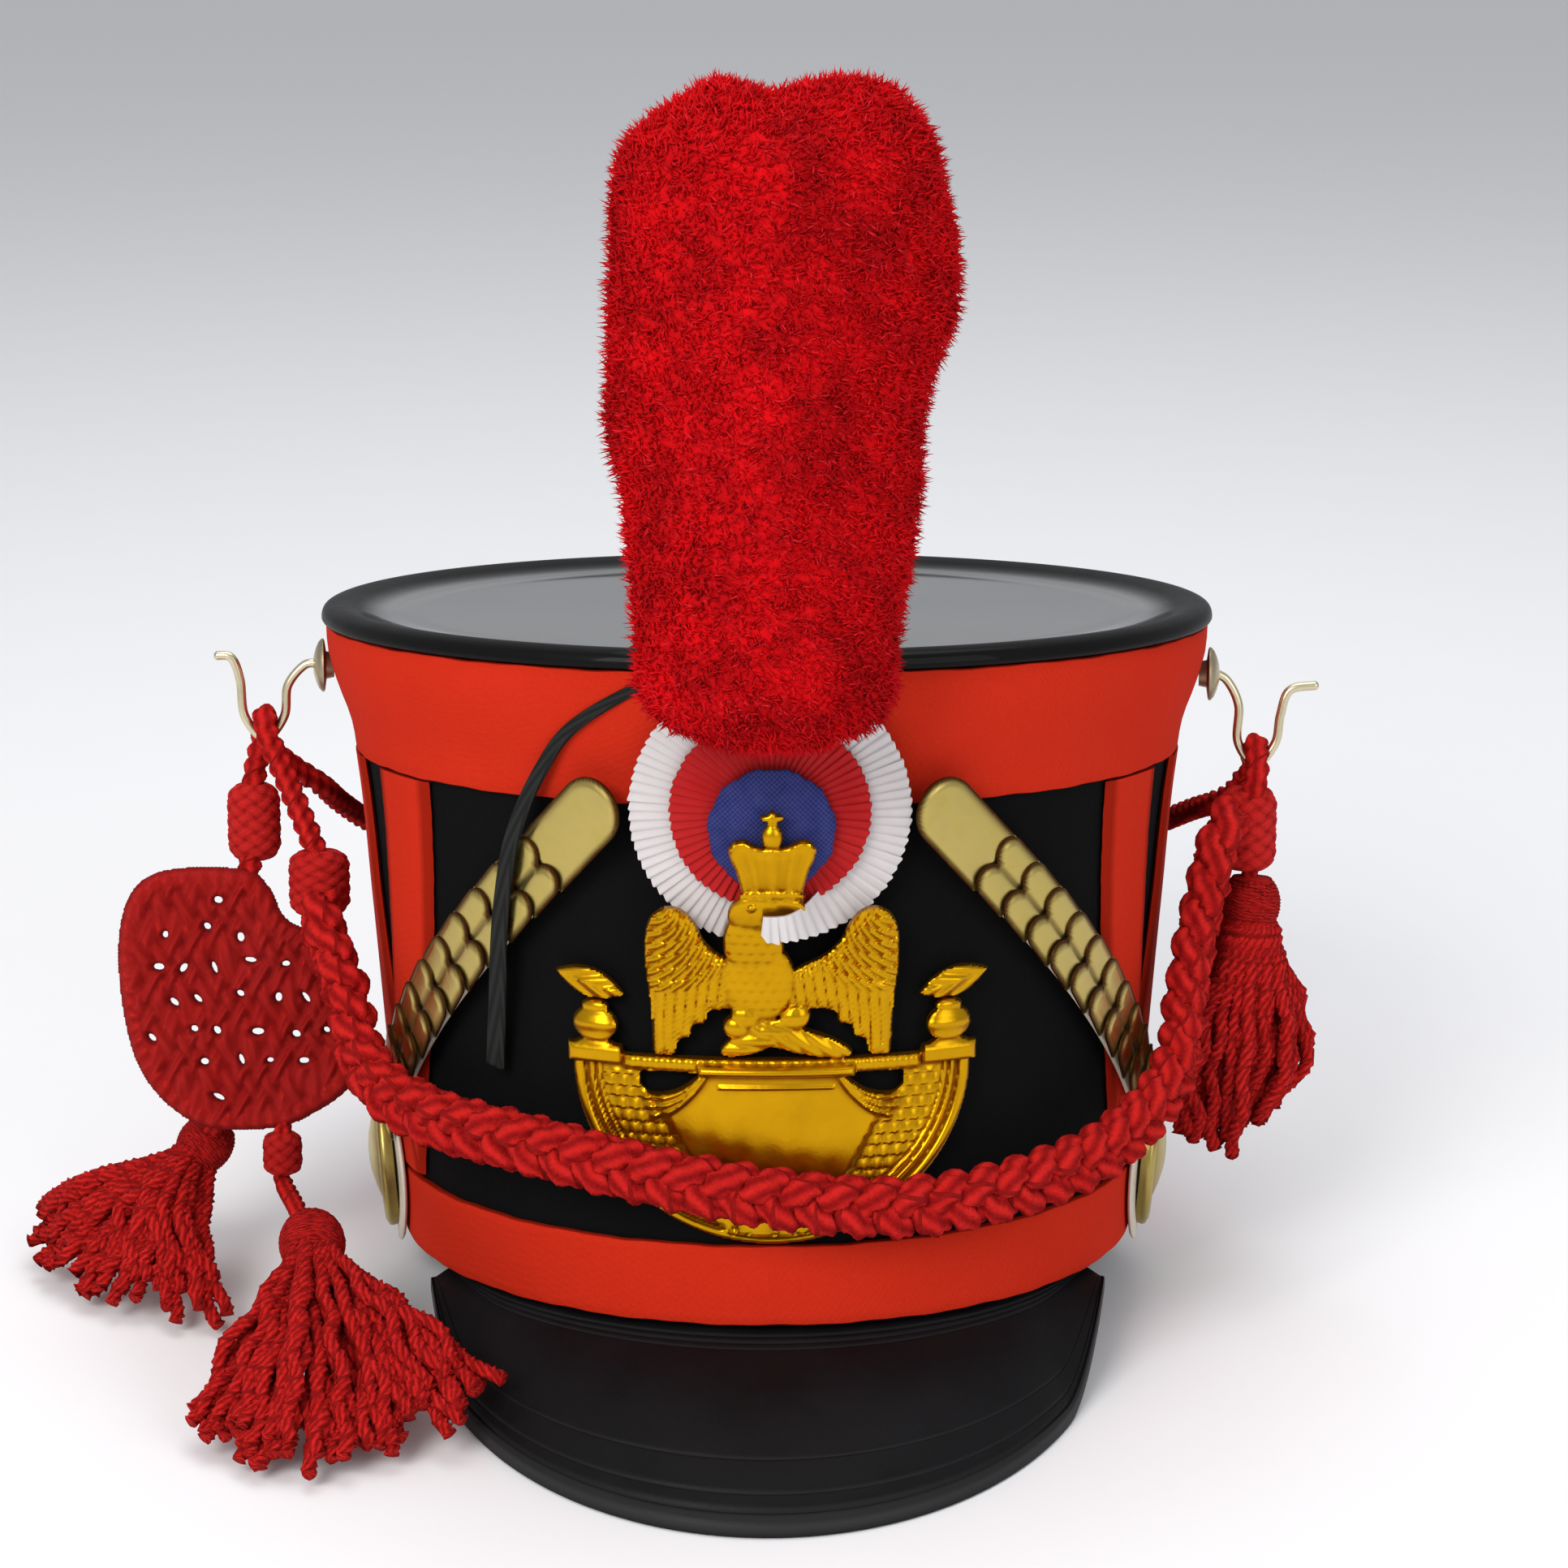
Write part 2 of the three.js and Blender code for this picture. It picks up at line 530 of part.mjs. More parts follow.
function featherShapes(side) {
  return steps(0, FEATHER.count - 1, FEATHER.count - 1).map((i) => {
    const long = FEATHER.shortest + FEATHER.grow * i;
    const x = SHIELD.x + side * (FEATHER.first + FEATHER.pitch * i);
    const vane = ellipse(x, FEATHER.top - long, FEATHER.halfWidth, long, side * FEATHER.turn * i);
    return plain(vane, i % 2 ? FEATHER_HEIGHT.odd : FEATHER_HEIGHT.even);
  });
}

function crownShape() {
  const shape = new THREE.Shape().moveTo(CROWN_FOOT.left, CROWN_FOOT.z);
  shape.lineTo(CROWN_FOOT.right, CROWN_FOOT.z);
  for (const row of CROWN_CURVES) shape.quadraticCurveTo(row.throughX, row.throughZ, row.x, row.z);
  return plain(shape, CROWN_HEIGHT);
}

function plateShapes() {
  const ovals = PLATE_MIDDLE.map((row) =>
    plain(ellipse(row.x, row.z, row.wide, row.tall, row.turn), row.height, row.segments));
  for (const side of [-1, 1]) {
    for (const row of PLATE_PAIRS) {
      const oval = ellipse(SHIELD.x + side * row.out, row.z, row.wide, row.tall, side * row.turn);
      ovals.push(plain(oval, row.height));
    }
    ovals.push(...featherShapes(side));
  }
  return fuse([...shieldShapes(), ...ovals, crownShape()]);
}

function onPlate(x, z, height) {
  const bow = Math.sqrt(PLATE_RADIUS ** 2 - x * x) - PLATE_RADIUS;
  return new THREE.Vector3(x, -(reading(PLATE_LEAN, z, "y") + bow + height), z);
}

piece("eagle_plate", bent(plateShapes(), PLATE_EDGE, onPlate), brass);

// Chin straps: a leather strap with a round end, a domed boss and a row of overlapping scales.
// Along runs from the boss up to the cockade, on a straight line of the unrolled wall.
const strapRun = new THREE.Vector2(
  deg(BOSS.angle - STRAP.tipAngle) * UNROLLED, STRAP.tipZ - BOSS.z);
const STRAP_LENGTH = strapRun.length();
strapRun.normalize();

function onStrap(sign, along, across, out) {
  const arc = along * strapRun.x + across * strapRun.y;
  const z = BOSS.z + along * strapRun.y - across * strapRun.x;
  return onHat(sign * (deg(BOSS.angle) - arc / UNROLLED), z, out);
}

function strap(sign) {
  const neck = Math.sqrt(BOSS.leather ** 2 - (STRAP.width / 2) ** 2);
  const round = [-0.97, -0.8, -0.45, 0, 0.45, 0.8].map((part) => part * BOSS.leather);
  const runs = [...round, ...steps(neck, STRAP_LENGTH, 7)];
  return slab(runs, steps(-1, 1, 3), (along, u, side) => {
    const half = along < neck ? Math.sqrt(BOSS.leather ** 2 - along ** 2) : STRAP.width / 2;
    return onStrap(sign, along, u * half, STRAP.lift + side * STRAP.thick);
  });
}

// A frame on the strap: x along it, z out from the hat
function strapFrame(sign, along, out) {
  const at = onStrap(sign, along, 0, out);
  const ahead = onStrap(sign, along + 1, 0, out).sub(at).normalize();
  const aside = onStrap(sign, along, 1, out).sub(at);
  const outward = ahead.clone().cross(aside).multiplyScalar(sign).normalize();
  const across = outward.clone().cross(ahead);
  return new THREE.Matrix4().makeBasis(ahead, across, outward).setPosition(at);
}

function scaleShape(length) {
  const half = SCALE.width / 2;
  const lobe = half / 2;
  const shape = new THREE.Shape();
  shape.moveTo(0, -half);
  shape.lineTo(length - lobe, -half);
  shape.absarc(length - lobe, -lobe, lobe, -Math.PI / 2, Math.PI / 2, false);
  shape.absarc(length - lobe, lobe, lobe, -Math.PI / 2, Math.PI / 2, false);
  shape.lineTo(0, half);
  return shape;
}

function tipShape() {
  const half = SCALE.width / 2;
  const shape = new THREE.Shape();
  shape.moveTo(0, -half);
  shape.lineTo(SCALE.tipLength - half, -half);
  shape.absarc(SCALE.tipLength - half, 0, half, -Math.PI / 2, Math.PI / 2, false);
  shape.lineTo(0, half);
  return shape;
}

const scaleStart = BOSS.radius + 0.8;
const scalePitch = (STRAP_LENGTH - SCALE.tipLength - scaleStart + 2) / SCALE.count;
const scaleRise = Math.atan2(SCALE.thick + 0.35, scalePitch);
const scaleSeat = STRAP.lift + STRAP.thick + 0.35;

function chinStrap(side, sign) {
  piece(`chin_strap_${side}`, strap(sign), whiteLeather);
  const boss = piece(`chin_boss_${side}`, turned(BOSS_PROFILE, 16), paleBrass);
  boss.applyMatrix4(strapFrame(sign, 0, scaleSeat));
  for (let i = 0; i <= SCALE.count; i += 1) {
    const last = i === SCALE.count;
    const shape = last ? tipShape() : scaleShape(SCALE.length);
    const name = last ? `scale_tip_${side}` : `scale_${side}_${String(i + 1).padStart(2, "0")}`;
    const plate = piece(name, plain(shape, SCALE.thick, last ? 3 : 2), paleBrass);
    plate.rotation.y = -scaleRise;
    plate.updateMatrix();
    plate.applyMatrix4(strapFrame(sign, scaleStart + i * scalePitch, scaleSeat));
  }
}

chinStrap("left", -1);
chinStrap("right", 1);

// Plume: wool tufts fused to a tall core, on a flat stem that runs down behind the cockade
function plumePoint(turn, z, part = 1) {
  const [across, depth] = [Math.sin(turn), Math.cos(turn)];
  const width = reading(PLUME, z, across > 0 ? "right" : "left");
  const reach = reading(PLUME, z, depth > 0 ? "front" : "back");
  return new THREE.Vector3(part * width * across, PLUME_Y - part * reach * depth, z);
}

const tuft = (at) => new THREE.OctahedronGeometry(PLUME_TUFT.radius).translate(at.x, at.y, at.z);

function plume() {
  const turns = aroundRing(PLUME_SIDES);
  const core = loft(PLUME.map((row) => turns.map((turn) => plumePoint(turn, row.z))));
  const stem = slab([-1, 1], STEM.map((row) => row.z), (u, z, side) => {
    const point = onHat(0, z, reading(STEM, z, "out") + side * STEM_THICK);
    return point.setX(u * STEM_HALF_WIDTH);
  });
  const stemTop = onHat(0, STEM[6].z, STEM[6].out);
  const foot = new THREE.BoxGeometry(2 * STEM_HALF_WIDTH, STEM_FOOT.depth, STEM_FOOT.height);
  foot.translate(0, stemTop.y - STEM_FOOT.depth / 2, stemTop.z - STEM_FOOT.height / 2);
  const tufts = [tuft(new THREE.Vector3(PLUME_TOP.x, PLUME_Y, PLUME_TOP.z))];
  for (let row = 0; row < PLUME_TUFT.rows; row += 1) {
    const z = mix(PLUME_TUFT.from, PLUME_TUFT.to, row / (PLUME_TUFT.rows - 1));
    for (let i = 0; i < PLUME_TUFT.perRow; i += 1) {
      const turn = ((i + 0.5 * (row % 2)) * 2 * Math.PI) / PLUME_TUFT.perRow;
      const clear = row > 0 || Math.cos(turn) > 0;
      if (clear) tufts.push(tuft(plumePoint(turn, z, PLUME_TUFT.reach)));
    }
  }
  return fuse([core, stem, foot, ...tufts]);
}

piece("plume", plume(), plumeWool);

// Hooks: a round base on the upper band with a bent wire that opens outwards

for (const [side, hook] of Object.entries(HOOKS)) {
  const outward = new THREE.Vector3(Math.sign(hook.base[0]), -0.12, 0).normalize();
  const base = turned(HOOK_BASE, 8);
  base.applyQuaternion(new THREE.Quaternion().setFromUnitVectors(new THREE.Vector3(0, 0, 1), outward));
  base.translate(...hook.base);
  piece(`hook_${side}`, fuse([base, tube(hook.wire, HOOK_WIRE, 6, 12)]), paleBrass);
}

// Hanging loops, slides and the netted pad
piece("loop_left", tube(LOOPS.left, LOOP_CORD, 8, 10), redYarn);
piece("loop_right", tube(LOOPS.right, LOOP_CORD, 8, 8), redYarn);

function slide(radius, height) {
  const half = height / 2;
  return turned([
    { r: 0, z: -half }, { r: 0.6 * radius, z: -half }, { r: radius, z: -0.45 * half },
    { r: radius, z: 0.45 * half }, { r: 0.6 * radius, z: half }, { r: 0, z: half },
  ], 10);
}

for (const row of SLIDES) {
  piece(row.name, slide(row.radius, row.height), redYarn).position.set(...row.at);
}


function pad() {
  const outline = PAD_OUTLINE.map((point) => new THREE.Vector2(...point));
  const shape = new THREE.Shape().moveTo(outline[0].x, outline[0].y);
  shape.splineThru([...outline.slice(1), outline[0]]);
  for (let row = -2; row <= 2; row += 1) {
    for (let column = -2; column <= 2; column += 1) {
      const x = (column + 0.5 * (Math.abs(row) % 2) - 0.25) * PAD.pitch;
      const y = row * PAD.pitch;
      if (Math.hypot(x / 25, y / 27) > 1 || (x > 5 && y > 14)) continue;
      shape.holes.push(new THREE.Path().absellipse(x, y, PAD.gaps, 1.3 * PAD.gaps, 0, 2 * Math.PI, true, 0));
    }
  }
  return plain(shape, PAD_THICK, 3).translate(0, 0, -PAD_THICK / 2).rotateX(Math.PI / 2);
}

const padMesh = piece("raquette_pad", pad(), redYarn);
padMesh.position.set(...PAD.at);
padMesh.rotation.x = deg(PAD.lean);

// Cords: the front braid between its slides, the cord round the back and the lace of the chin strap
piece("front_braid", tube(BRAID_ROUTE, BRAID, 10, 20), redYarn);

piece("rear_cord", tube(REAR_ROUTE, REAR_CORD, 8, 20), redYarn);


function lace() {
  const rows = steps(0, LACE_ROUTE.length - 1, LACE_ROUTE.length - 1);
  return slab([-0.5, 0.5], rows, (u, i, side) => {
    const row = LACE_ROUTE[i];
    const next = LACE_ROUTE[Math.min(i + 1, rows.length - 1)];
    const before = LACE_ROUTE[Math.max(i - 1, 0)];
    const run = new THREE.Vector2(deg(next.angle - before.angle) * UNROLLED, next.z - before.z).normalize();
    const width = mix(LACE.top, LACE.end, i / (rows.length - 1));
    const angle = deg(row.angle) + (u * width * -run.y) / UNROLLED;
    return onHat(angle, row.z + u * width * run.x, row.out + side * LACE.thick);
  });
}

piece("tie_lace", lace(), blackLeather);

// Tassels: yarn strands fused to a round head on a short stalk. The two on the left lie with
// their ends on the ground and are placed from it; the one on the right hangs.

function tassel({ head, radius, stalk, ends }) {
  const top = new THREE.Vector3(...head);
  const middle = ends.reduce((sum, end) => sum.add(new THREE.Vector3(...end)), new THREE.Vector3());
  const down = middle.divideScalar(ends.length).sub(top).normalize();
  const skirt = top.clone().addScaledVector(down, 0.5 * radius);
  const bulb = new THREE.SphereGeometry(radius, 8, 4).translate(...head);
  const cord = tube([stalk, new THREE.Vector3(...stalk).lerp(top, 0.5).toArray(), head], 1.9, 6, 3);
  const strands = ends.map((end) => {
    const tip = new THREE.Vector3(...end);
    const bow = skirt.clone().lerp(tip, 0.5).addScaledVector(down, 4);
    bow.add(tip.clone().sub(skirt).projectOnPlane(down).multiplyScalar(0.12));
    return tube([skirt.toArray(), bow.toArray(), end], STRAND, 4, 3);
  });
  return fuse([bulb, cord, ...strands]);
}

for (const row of TASSELS) piece(row.name, tassel(row), redYarn, row.lies ? shako : hat);

export default shako;
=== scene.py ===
import math

import bpy
import numpy as np
from mathutils import Matrix, Vector


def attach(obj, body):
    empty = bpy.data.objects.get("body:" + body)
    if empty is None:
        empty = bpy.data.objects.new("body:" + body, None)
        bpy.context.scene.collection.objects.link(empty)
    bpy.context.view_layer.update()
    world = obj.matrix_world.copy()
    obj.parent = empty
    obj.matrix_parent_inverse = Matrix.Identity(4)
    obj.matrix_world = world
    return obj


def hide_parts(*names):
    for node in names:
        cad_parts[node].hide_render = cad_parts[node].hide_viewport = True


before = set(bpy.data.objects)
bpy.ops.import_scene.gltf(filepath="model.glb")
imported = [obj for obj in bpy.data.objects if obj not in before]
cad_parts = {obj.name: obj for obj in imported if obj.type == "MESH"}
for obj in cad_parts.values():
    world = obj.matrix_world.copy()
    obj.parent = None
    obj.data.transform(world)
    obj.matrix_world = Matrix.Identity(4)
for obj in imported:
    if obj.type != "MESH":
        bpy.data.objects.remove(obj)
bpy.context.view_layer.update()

bl_info = {
    "name": "Shako hat",
    "version": (1, 0, 0),
    "blender": (4, 5, 0),
    "location": "View3D > Sidebar > Shako",
    "description": "Builds the seen pieces of a shako over its measured solids, with a plain stage",
    "category": "Object",
}

# Lengths are in mm on the upright hat until stand() leans them on to the peak, in metres.
# x is to the viewer's right, -y to the front, and z up from the rim.
MM = 0.001
TILT = math.atan2(34, 254.3)
STAND_Y = 9.2
STAND_Z = 101.3 * math.sin(TILT)

# Felt wall: height, half width, half depth.
WALL = [
    (0, 96, 101.3), (26, 98, 102.8), (90, 103, 105), (126, 106.2, 106.8),
    (138, 108, 108), (148, 111.5, 111.5), (156, 113.6, 113.6), (163, 114, 114),
]
FELT = 2.0
CLOTH = 1.6
SIDES = (("left", -1), ("right", 1))
SEAT_GAP = 0.35
# The cloth's back lies this far in the felt, so that no light shows behind it.
TUCK = 0.2
UPPER_BAND = (130.0, 162.9)
LOWER_BAND = (1.0, 21.5)
# Crown: radius and height round its rolled rim, and the heights of its flat under and upper faces.
CROWN_RIM = [
    (112, 163.4), (116.4, 163.4), (117, 165), (116, 167), (113, 168), (109, 167.4), (103, 165.7),
    (97, 165.1),
]
CROWN_UNDER = 163.4
CROWN_TOP = 165.1

# Peak: its free edge is part of an ellipse, and its root follows the rim.
PEAK_HALF_WIDTH = 88.0
PEAK_CENTRE_Y = -35.0
PEAK_HALF_DEPTH = 118.0
PEAK_THICK = 2.8
PEAK_ROOT_TURN = math.radians(60)
PEAK_EDGE_TURN = math.radians(80)

# Side chevrons: height and angle of each tape's middle line, and the tape's width.
CHEVRON_LEGS = [[(23, 71), (90, 61), (129.4, 58.5)], [(23, 71), (90, 81), (129.4, 82.5)]]
CHEVRON_WIDTH = 17.0

# Chin straps run from a boss at the rim up to the cockade.
STRAP_FOOT = (math.radians(84), 20.0)
STRAP_HEAD = (math.radians(21), 129.5)
STRAP_UNROLLED = 101.8
STRAP_THICK = 1.4
STRAP_LIFT = 2.7
# The strap's round end: radius, and rise over the strap's back.
STRAP_END = [(0.4, 0), (12, 0), (23.2, 0), (23.9, 0.4), (24, 0.8), (23.6, 1.3), (12, 1.4), (0.4, 1.4)]
# Bosses: radius, rise over the strap, and how dark the painted shade is.
BOSS = [
    (17.5, -1.2, 0.3), (19.7, -1.4, 0.4), (20, 0, 0.3), (20.2, 0.8, 0.2), (20, 1.6, 0.2), (18.4, 2.5, 0.1),
    (16.5, 2.4, 0.3), (15, 1.8, 0.9), (14, 1.9, 0.9), (12.6, 2.9, 0.3), (9, 4.2, 0.05), (5, 5.2, 0.05),
    (2.4, 5.5, 0.05), (0.4, 5.6, 0.05),
]
SCALE_COUNT = 11
SCALE_WIDTH = 17.0
SCALE_LENGTH = 14.0
SCALE_START = 20.8
SCALE_LAP = 0.95
SCALE_GRID = 0.66
TIP_LENGTH = 24.0
TIP_REACH = 6.5

COCKADE_X = 0.5
COCKADE_Z = 130.0

# Plate: distance forward at each height of the plate's back.
PLATE_LEAN = [
    (20, 103.7), (66, 105.5), (76, 106.2), (96, 109.4), (106, 113.8), (116, 118.7), (124, 121.4),
    (131, 122.2),
]
PLATE_ROUND = 104.0

# Plume: height, then half sizes to the left, right, front and back.
PLUME = [
    (149.5, 12, 13.5, 8, 6), (151.5, 18, 18, 13, 10), (154.5, 25, 25.2, 16, 13), (159, 30, 29.2, 20, 16),
    (170, 31.5, 31.2, 23.5, 18), (190, 33.5, 33.7, 26, 20), (214, 35.5, 36.7, 27.5, 24),
    (231, 37.5, 39.2, 28.5, 26.5), (250, 37.5, 43.2, 29, 27.5), (262, 37, 43.7, 29.5, 28),
    (275, 36, 41.7, 28.5, 27), (284, 33.5, 39.7, 26.5, 25.5), (290, 29, 36.7, 22, 22),
    (294.5, 21.5, 31.7, 16, 16), (297, 11.5, 22.7, 10, 10), (298, 0.8, 0.8, 0.6, 0.6),
]
PLUME_Y = -137.0
# The plume's stem: height, and distance out from the felt.
PLUME_STEM = [(112, 2.4), (130, 2.4), (138, 2.4), (148, 2.4), (156, 2.6), (163, 3.5), (173, 3.5)]

# Hooks: the middle of the foot, and the line of the wire.
HOOKS = {
    "left": (
        (-115.6, -14, 151.5),
        [
            (-117, -14, 152), (-121, -14, 151.4), (-125.4, -14, 146), (-126.5, -14, 138),
            (-131.6, -14, 132.2), (-136.8, -14, 138), (-137.8, -14, 147.5), (-140, -14, 153.4),
            (-144.4, -14, 154),
        ],
    ),
    "right": (
        (115.4, -14, 149),
        [
            (116.8, -14, 149.5), (120.6, -14, 147), (123.6, -14, 140.5), (123.6, -14, 131),
            (128.4, -14, 124.9), (133.4, -14, 130.6), (134.6, -14, 138), (137, -14, 144.6),
            (144.4, -14, 146),
        ],
    ),
}
# A hook's foot and flange: radius, height over the flange's back, and how dark the painted shade is.
HOOK_FLANGE = [
    (0.3, -2.4, 0.5), (3.2, -2.4, 0.5), (3.6, -0.4, 0.5), (6.4, 0, 0.5), (7, 0.3, 0.5), (6.9, 0.8, 0.5),
    (6, 1.6, 0.4), (4.4, 2.3, 0.2), (2.4, 2.9, 0), (1, 3, 0), (0.3, 3, 0),
]
HOOK_WIRE = 1.2
LOOPS = {
    "loop_left": [
        (-117, -24.5, 98), (-118.4, -23, 105), (-121.6, -21.6, 113), (-127, -20, 126),
        (-130.2, -18.8, 133.4), (-131.6, -14, 138.2), (-132.6, -9.2, 133.4), (-134.4, -9.4, 126),
        (-135.2, -11, 120.6), (-135.4, -12, 112), (-135.8, -14.6, 103), (-136.5, -18.5, 95),
    ],
    "loop_right": [
        (127.2, -16, 112), (127.6, -18.4, 119.8), (128.2, -19, 125.4), (128.4, -14, 130.3),
        (128.2, -9, 125.4), (127.6, -9.6, 119.8), (127.2, -12, 112),
    ],
}
# Wound slides: middle, radius, height, weaves round and turns up them.
SLIDES = {
    "slide_left_upper": ((-135.4, -12, 109.7), 7.0, 20.0, 7, 2.6),
    "slide_left_lower": ((-117, -24, 95.6), 8.0, 16.8, 7, 2.6),
    "slide_right": ((126.8, -14, 108), 7.5, 22.0, 7, 2.6),
    "pad_knot": ((-128, -26.4, 23.4), 5.2, 11.0, 6, 1.6),
}
PAD_AT = (-139.0, -22.6, 64.0)
PAD_LEAN = math.radians(-5)
PAD_PITCH = 11.5
PAD_GAP = 8.8
PAD_GRID = 0.43
PAD_OUTLINE = [
    (0.6, 34.6), (-23.5, 32.5), (-31.4, 15), (-27.3, -16), (-13, -32.3), (5, -34.5), (18, -31),
    (30.5, -20), (30.5, 4), (24, 16), (13, 21), (8, 30),
]
BRAID_ROUTE = [
    (-116.6, -26, 92), (-115.6, -31, 86), (-112.5, -36.5, 79), (-107.8, -42.6, 68.5), (-104.4, -51, 57.4),
    (-95.5, -64.5, 49.6), (-80.5, -82, 47), (-63.2, -96.2, 46.2), (-36.8, -109.9, 43), (-13, -115.4, 39),
    (10.4, -115.4, 35.5), (34.2, -110.2, 33), (59, -98.4, 34), (80.6, -81.6, 37.6), (95.4, -65.4, 44.2),
    (104.2, -52, 53.4), (107.6, -40.5, 64), (109.8, -34.4, 75), (112.4, -30, 86), (115.2, -27.4, 97),
    (117.8, -25.4, 106), (122, -19.6, 113),
]
REAR_ROUTE = [
    (-131.6, -5.8, 128), (-126.8, 0.8, 122.4), (-120, 8, 116), (-116.2, 22, 108.6), (-110, 40, 100),
    (-99, 58.6, 92), (-81, 78.4, 85), (-58, 94.8, 80), (-30, 106, 77), (0, 109.8, 76), (30, 106, 77),
    (58, 94.8, 80), (81, 78.4, 85), (99, 58.6, 92), (110, 40, 100), (116.2, 22, 106.6), (120.4, 8, 111),
    (124.4, 0.6, 115), (126.9, -3.9, 119.8),
]
# Twisted yarns: radius in mm, lobes of the section and their depth, twist in radians to a metre,
# step along the yarn in metres, and sides.
YARNS = {
    "braid": (3.5, 3.0, 0.13, 540.0, 0.0008, 15),
    "rear cord": (2.75, 3.0, 0.17, 480.0, 0.0008, 18),
    "loop": (2.9, 3.0, 0.16, 520.0, 0.0008, 18),
    "stalk": (2.2, 3.0, 0.16, 520.0, 0.0008, 15),
    "strand": (1.9, 3.0, 0.16, 900.0, 0.0017, 9),
    "winding": (0.62, 2.0, 0.1, 900.0, 0.0016, 6),
}
# Lace: angle in degrees, height and distance out from the felt.
LACE_ROUTE = [
    (-14.6, 160, 2.5), (-21, 152.6, 2.5), (-25.4, 146, 2.8), (-28.6, 138, 4.4), (-31, 129, 6.6),
    (-33.2, 118, 8), (-34.8, 106, 8), (-36.2, 94, 7.2), (-37.4, 83, 6), (-38.8, 72, 4.6), (-40.2, 61, 3.4),
]
# Tassels: head, its radius, where its cord comes from, and the ends that the strands fan out to.
# The two that lie on the floor are given as they lie, and the third on the upright hat.
TASSELS = {
    "tassel_left_rear": (
        (-151, 2, 36), 7.5, [(-146, -11.5, 51), (-146.3, -6.6, 46.3)], True,
        [(-203, 8, 4), (-196, -12, 4), (-182, -28, 4), (-166, -37, 4), (-151, -42, 4), (-140, -38, 4)],
        [(-186, 8, 18), (-168, -18, 20)],
    ),
    "tassel_left_front": (
        (-116, -51, 31), 8.5, [(-128, -10.8, 52.4), (-128, -13.9, 40.1), (-128, -14.6, 32.3)], True,
        [
            (-139, -108, 4), (-123, -121, 4), (-106, -124, 4), (-90, -118, 4.4), (-76, -111, 9),
            (-63.5, -103, 19),
        ],
        [(-122, -104, 17), (-100, -106, 18)],
    ),
    "tassel_right": (
        (127.6, -15.5, 88), 8.0, [(127, -14.2, 103), (127.2, -14.4, 96.6)], False,
        [
            (105, -33, 27), (113.5, -32, 23), (122, -28, 22), (132, -21, 26), (140.6, -12, 38),
            (134, -4, 29), (123, -2, 26), (113, -12, 27), (105, -33, 27),
        ],
        [],
    ),
}

TASSEL_WINDS = 15

# Camera on the upright hat, as the photograph was taken.
CAMERA_AT = (-1.069, -920.123, 272.36)
CAMERA_PITCH = 0.16676
CAMERA_YAW = -0.00602
CAMERA_LENS = 80.207


def stand(points):
    """Points in mm on the upright hat, leaned on to its peak and given in metres."""
    p = np.asarray(points, float)
    c = math.cos(TILT)
    s = math.sin(TILT)
    y = p[..., 1] * c + p[..., 2] * s + STAND_Y
    z = p[..., 2] * c - p[..., 1] * s + STAND_Z
    return np.stack([p[..., 0], y, z], -1) * MM


def smooth(table, at):
    """A table's other columns at a value of its first one, on a smooth curve through the rows."""
    rows = np.asarray(table, float)
    x = rows[:, 0]
    y = rows[:, 1:]
    slope = np.gradient(y, x, axis=0)
    at = np.asarray(at, float)
    i = np.clip(np.searchsorted(x, at) - 1, 0, len(x) - 2)
    h = x[i + 1] - x[i]
    t = np.clip((at - x[i]) / h, 0, 1)[..., None]
    h = h[..., None]
    first = (1 + 2 * t) * (1 - t) ** 2 * y[i] + t * (1 - t) ** 2 * h * slope[i]
    return first + t * t * (3 - 2 * t) * y[i + 1] + t * t * (t - 1) * h * slope[i + 1]


def ease(low, high, value):
    """From 0 at low to 1 at high, without a corner."""
    t = np.clip((np.asarray(value, float) - low) / (high - low), 0, 1)
    return t * t * (3 - 2 * t)


def unit(vectors):
    """Vectors of length 1."""
    v = np.asarray(vectors, float)
    return v / np.maximum(np.linalg.norm(v, axis=-1, keepdims=True), 1e-9)


def even(path, count):
    """A path's points, spaced evenly."""
    run = np.concatenate([[0], np.cumsum(np.linalg.norm(np.diff(path, axis=0), axis=1))])
    at = np.linspace(0, run[-1], count)
    return np.stack([np.interp(at, run, column) for column in path.T], -1)


def spline(points, count, closed=False):
    """Evenly spaced points on a smooth curve through the given ones."""
    p = np.asarray(points, float)
    if closed:
        ends = np.vstack([p[-1:], p, p[:2]])
    else:
        ends = np.vstack([2 * p[0] - p[1], p, 2 * p[-1] - p[-2]])
    t = np.linspace(0, 1, 24, endpoint=False)[:, None]
    dense = []
    for a, b, c, d in zip(ends, ends[1:], ends[2:], ends[3:]):
        bend = (2 * a - 5 * b + 4 * c - d) * t**2 + (3 * b - a - 3 * c + d) * t**3
        dense.append(0.5 * (2 * b + (c - a) * t + bend))
    dense.append(ends[-2:-1])
    return even(np.vstack(dense), count)


def directions(path, outward=None):
    """The directions along a path, to its side and out from it.
    Without a given outward the frame is carried along with as little turn as possible."""
    along = unit(np.gradient(path, axis=0))
    if outward is None:
        start = np.array([0.0, 0.0, 1.0]) if abs(along[0, 2]) < 0.9 else np.array([1.0, 0.0, 0.0])
        outward = np.empty_like(path)
        for i, d in enumerate(along):
            start = unit(start - d * start.dot(d))
            outward[i] = start
    else:
        outward = unit(outward - along * (outward * along).sum(1)[:, None])
    return along, np.cross(outward, along), outward


def spans(*parts):
    """Evenly spaced values over one span after another, each given as first, last and count."""
    return np.concatenate([np.linspace(*part) for part in parts])


def grid(first, last, step):
    """The two coordinates of a square grid between two corners."""
    across, up = (np.arange(a, b, step) for a, b in zip(first, last))
    return np.meshgrid(across, up, indexing="ij")


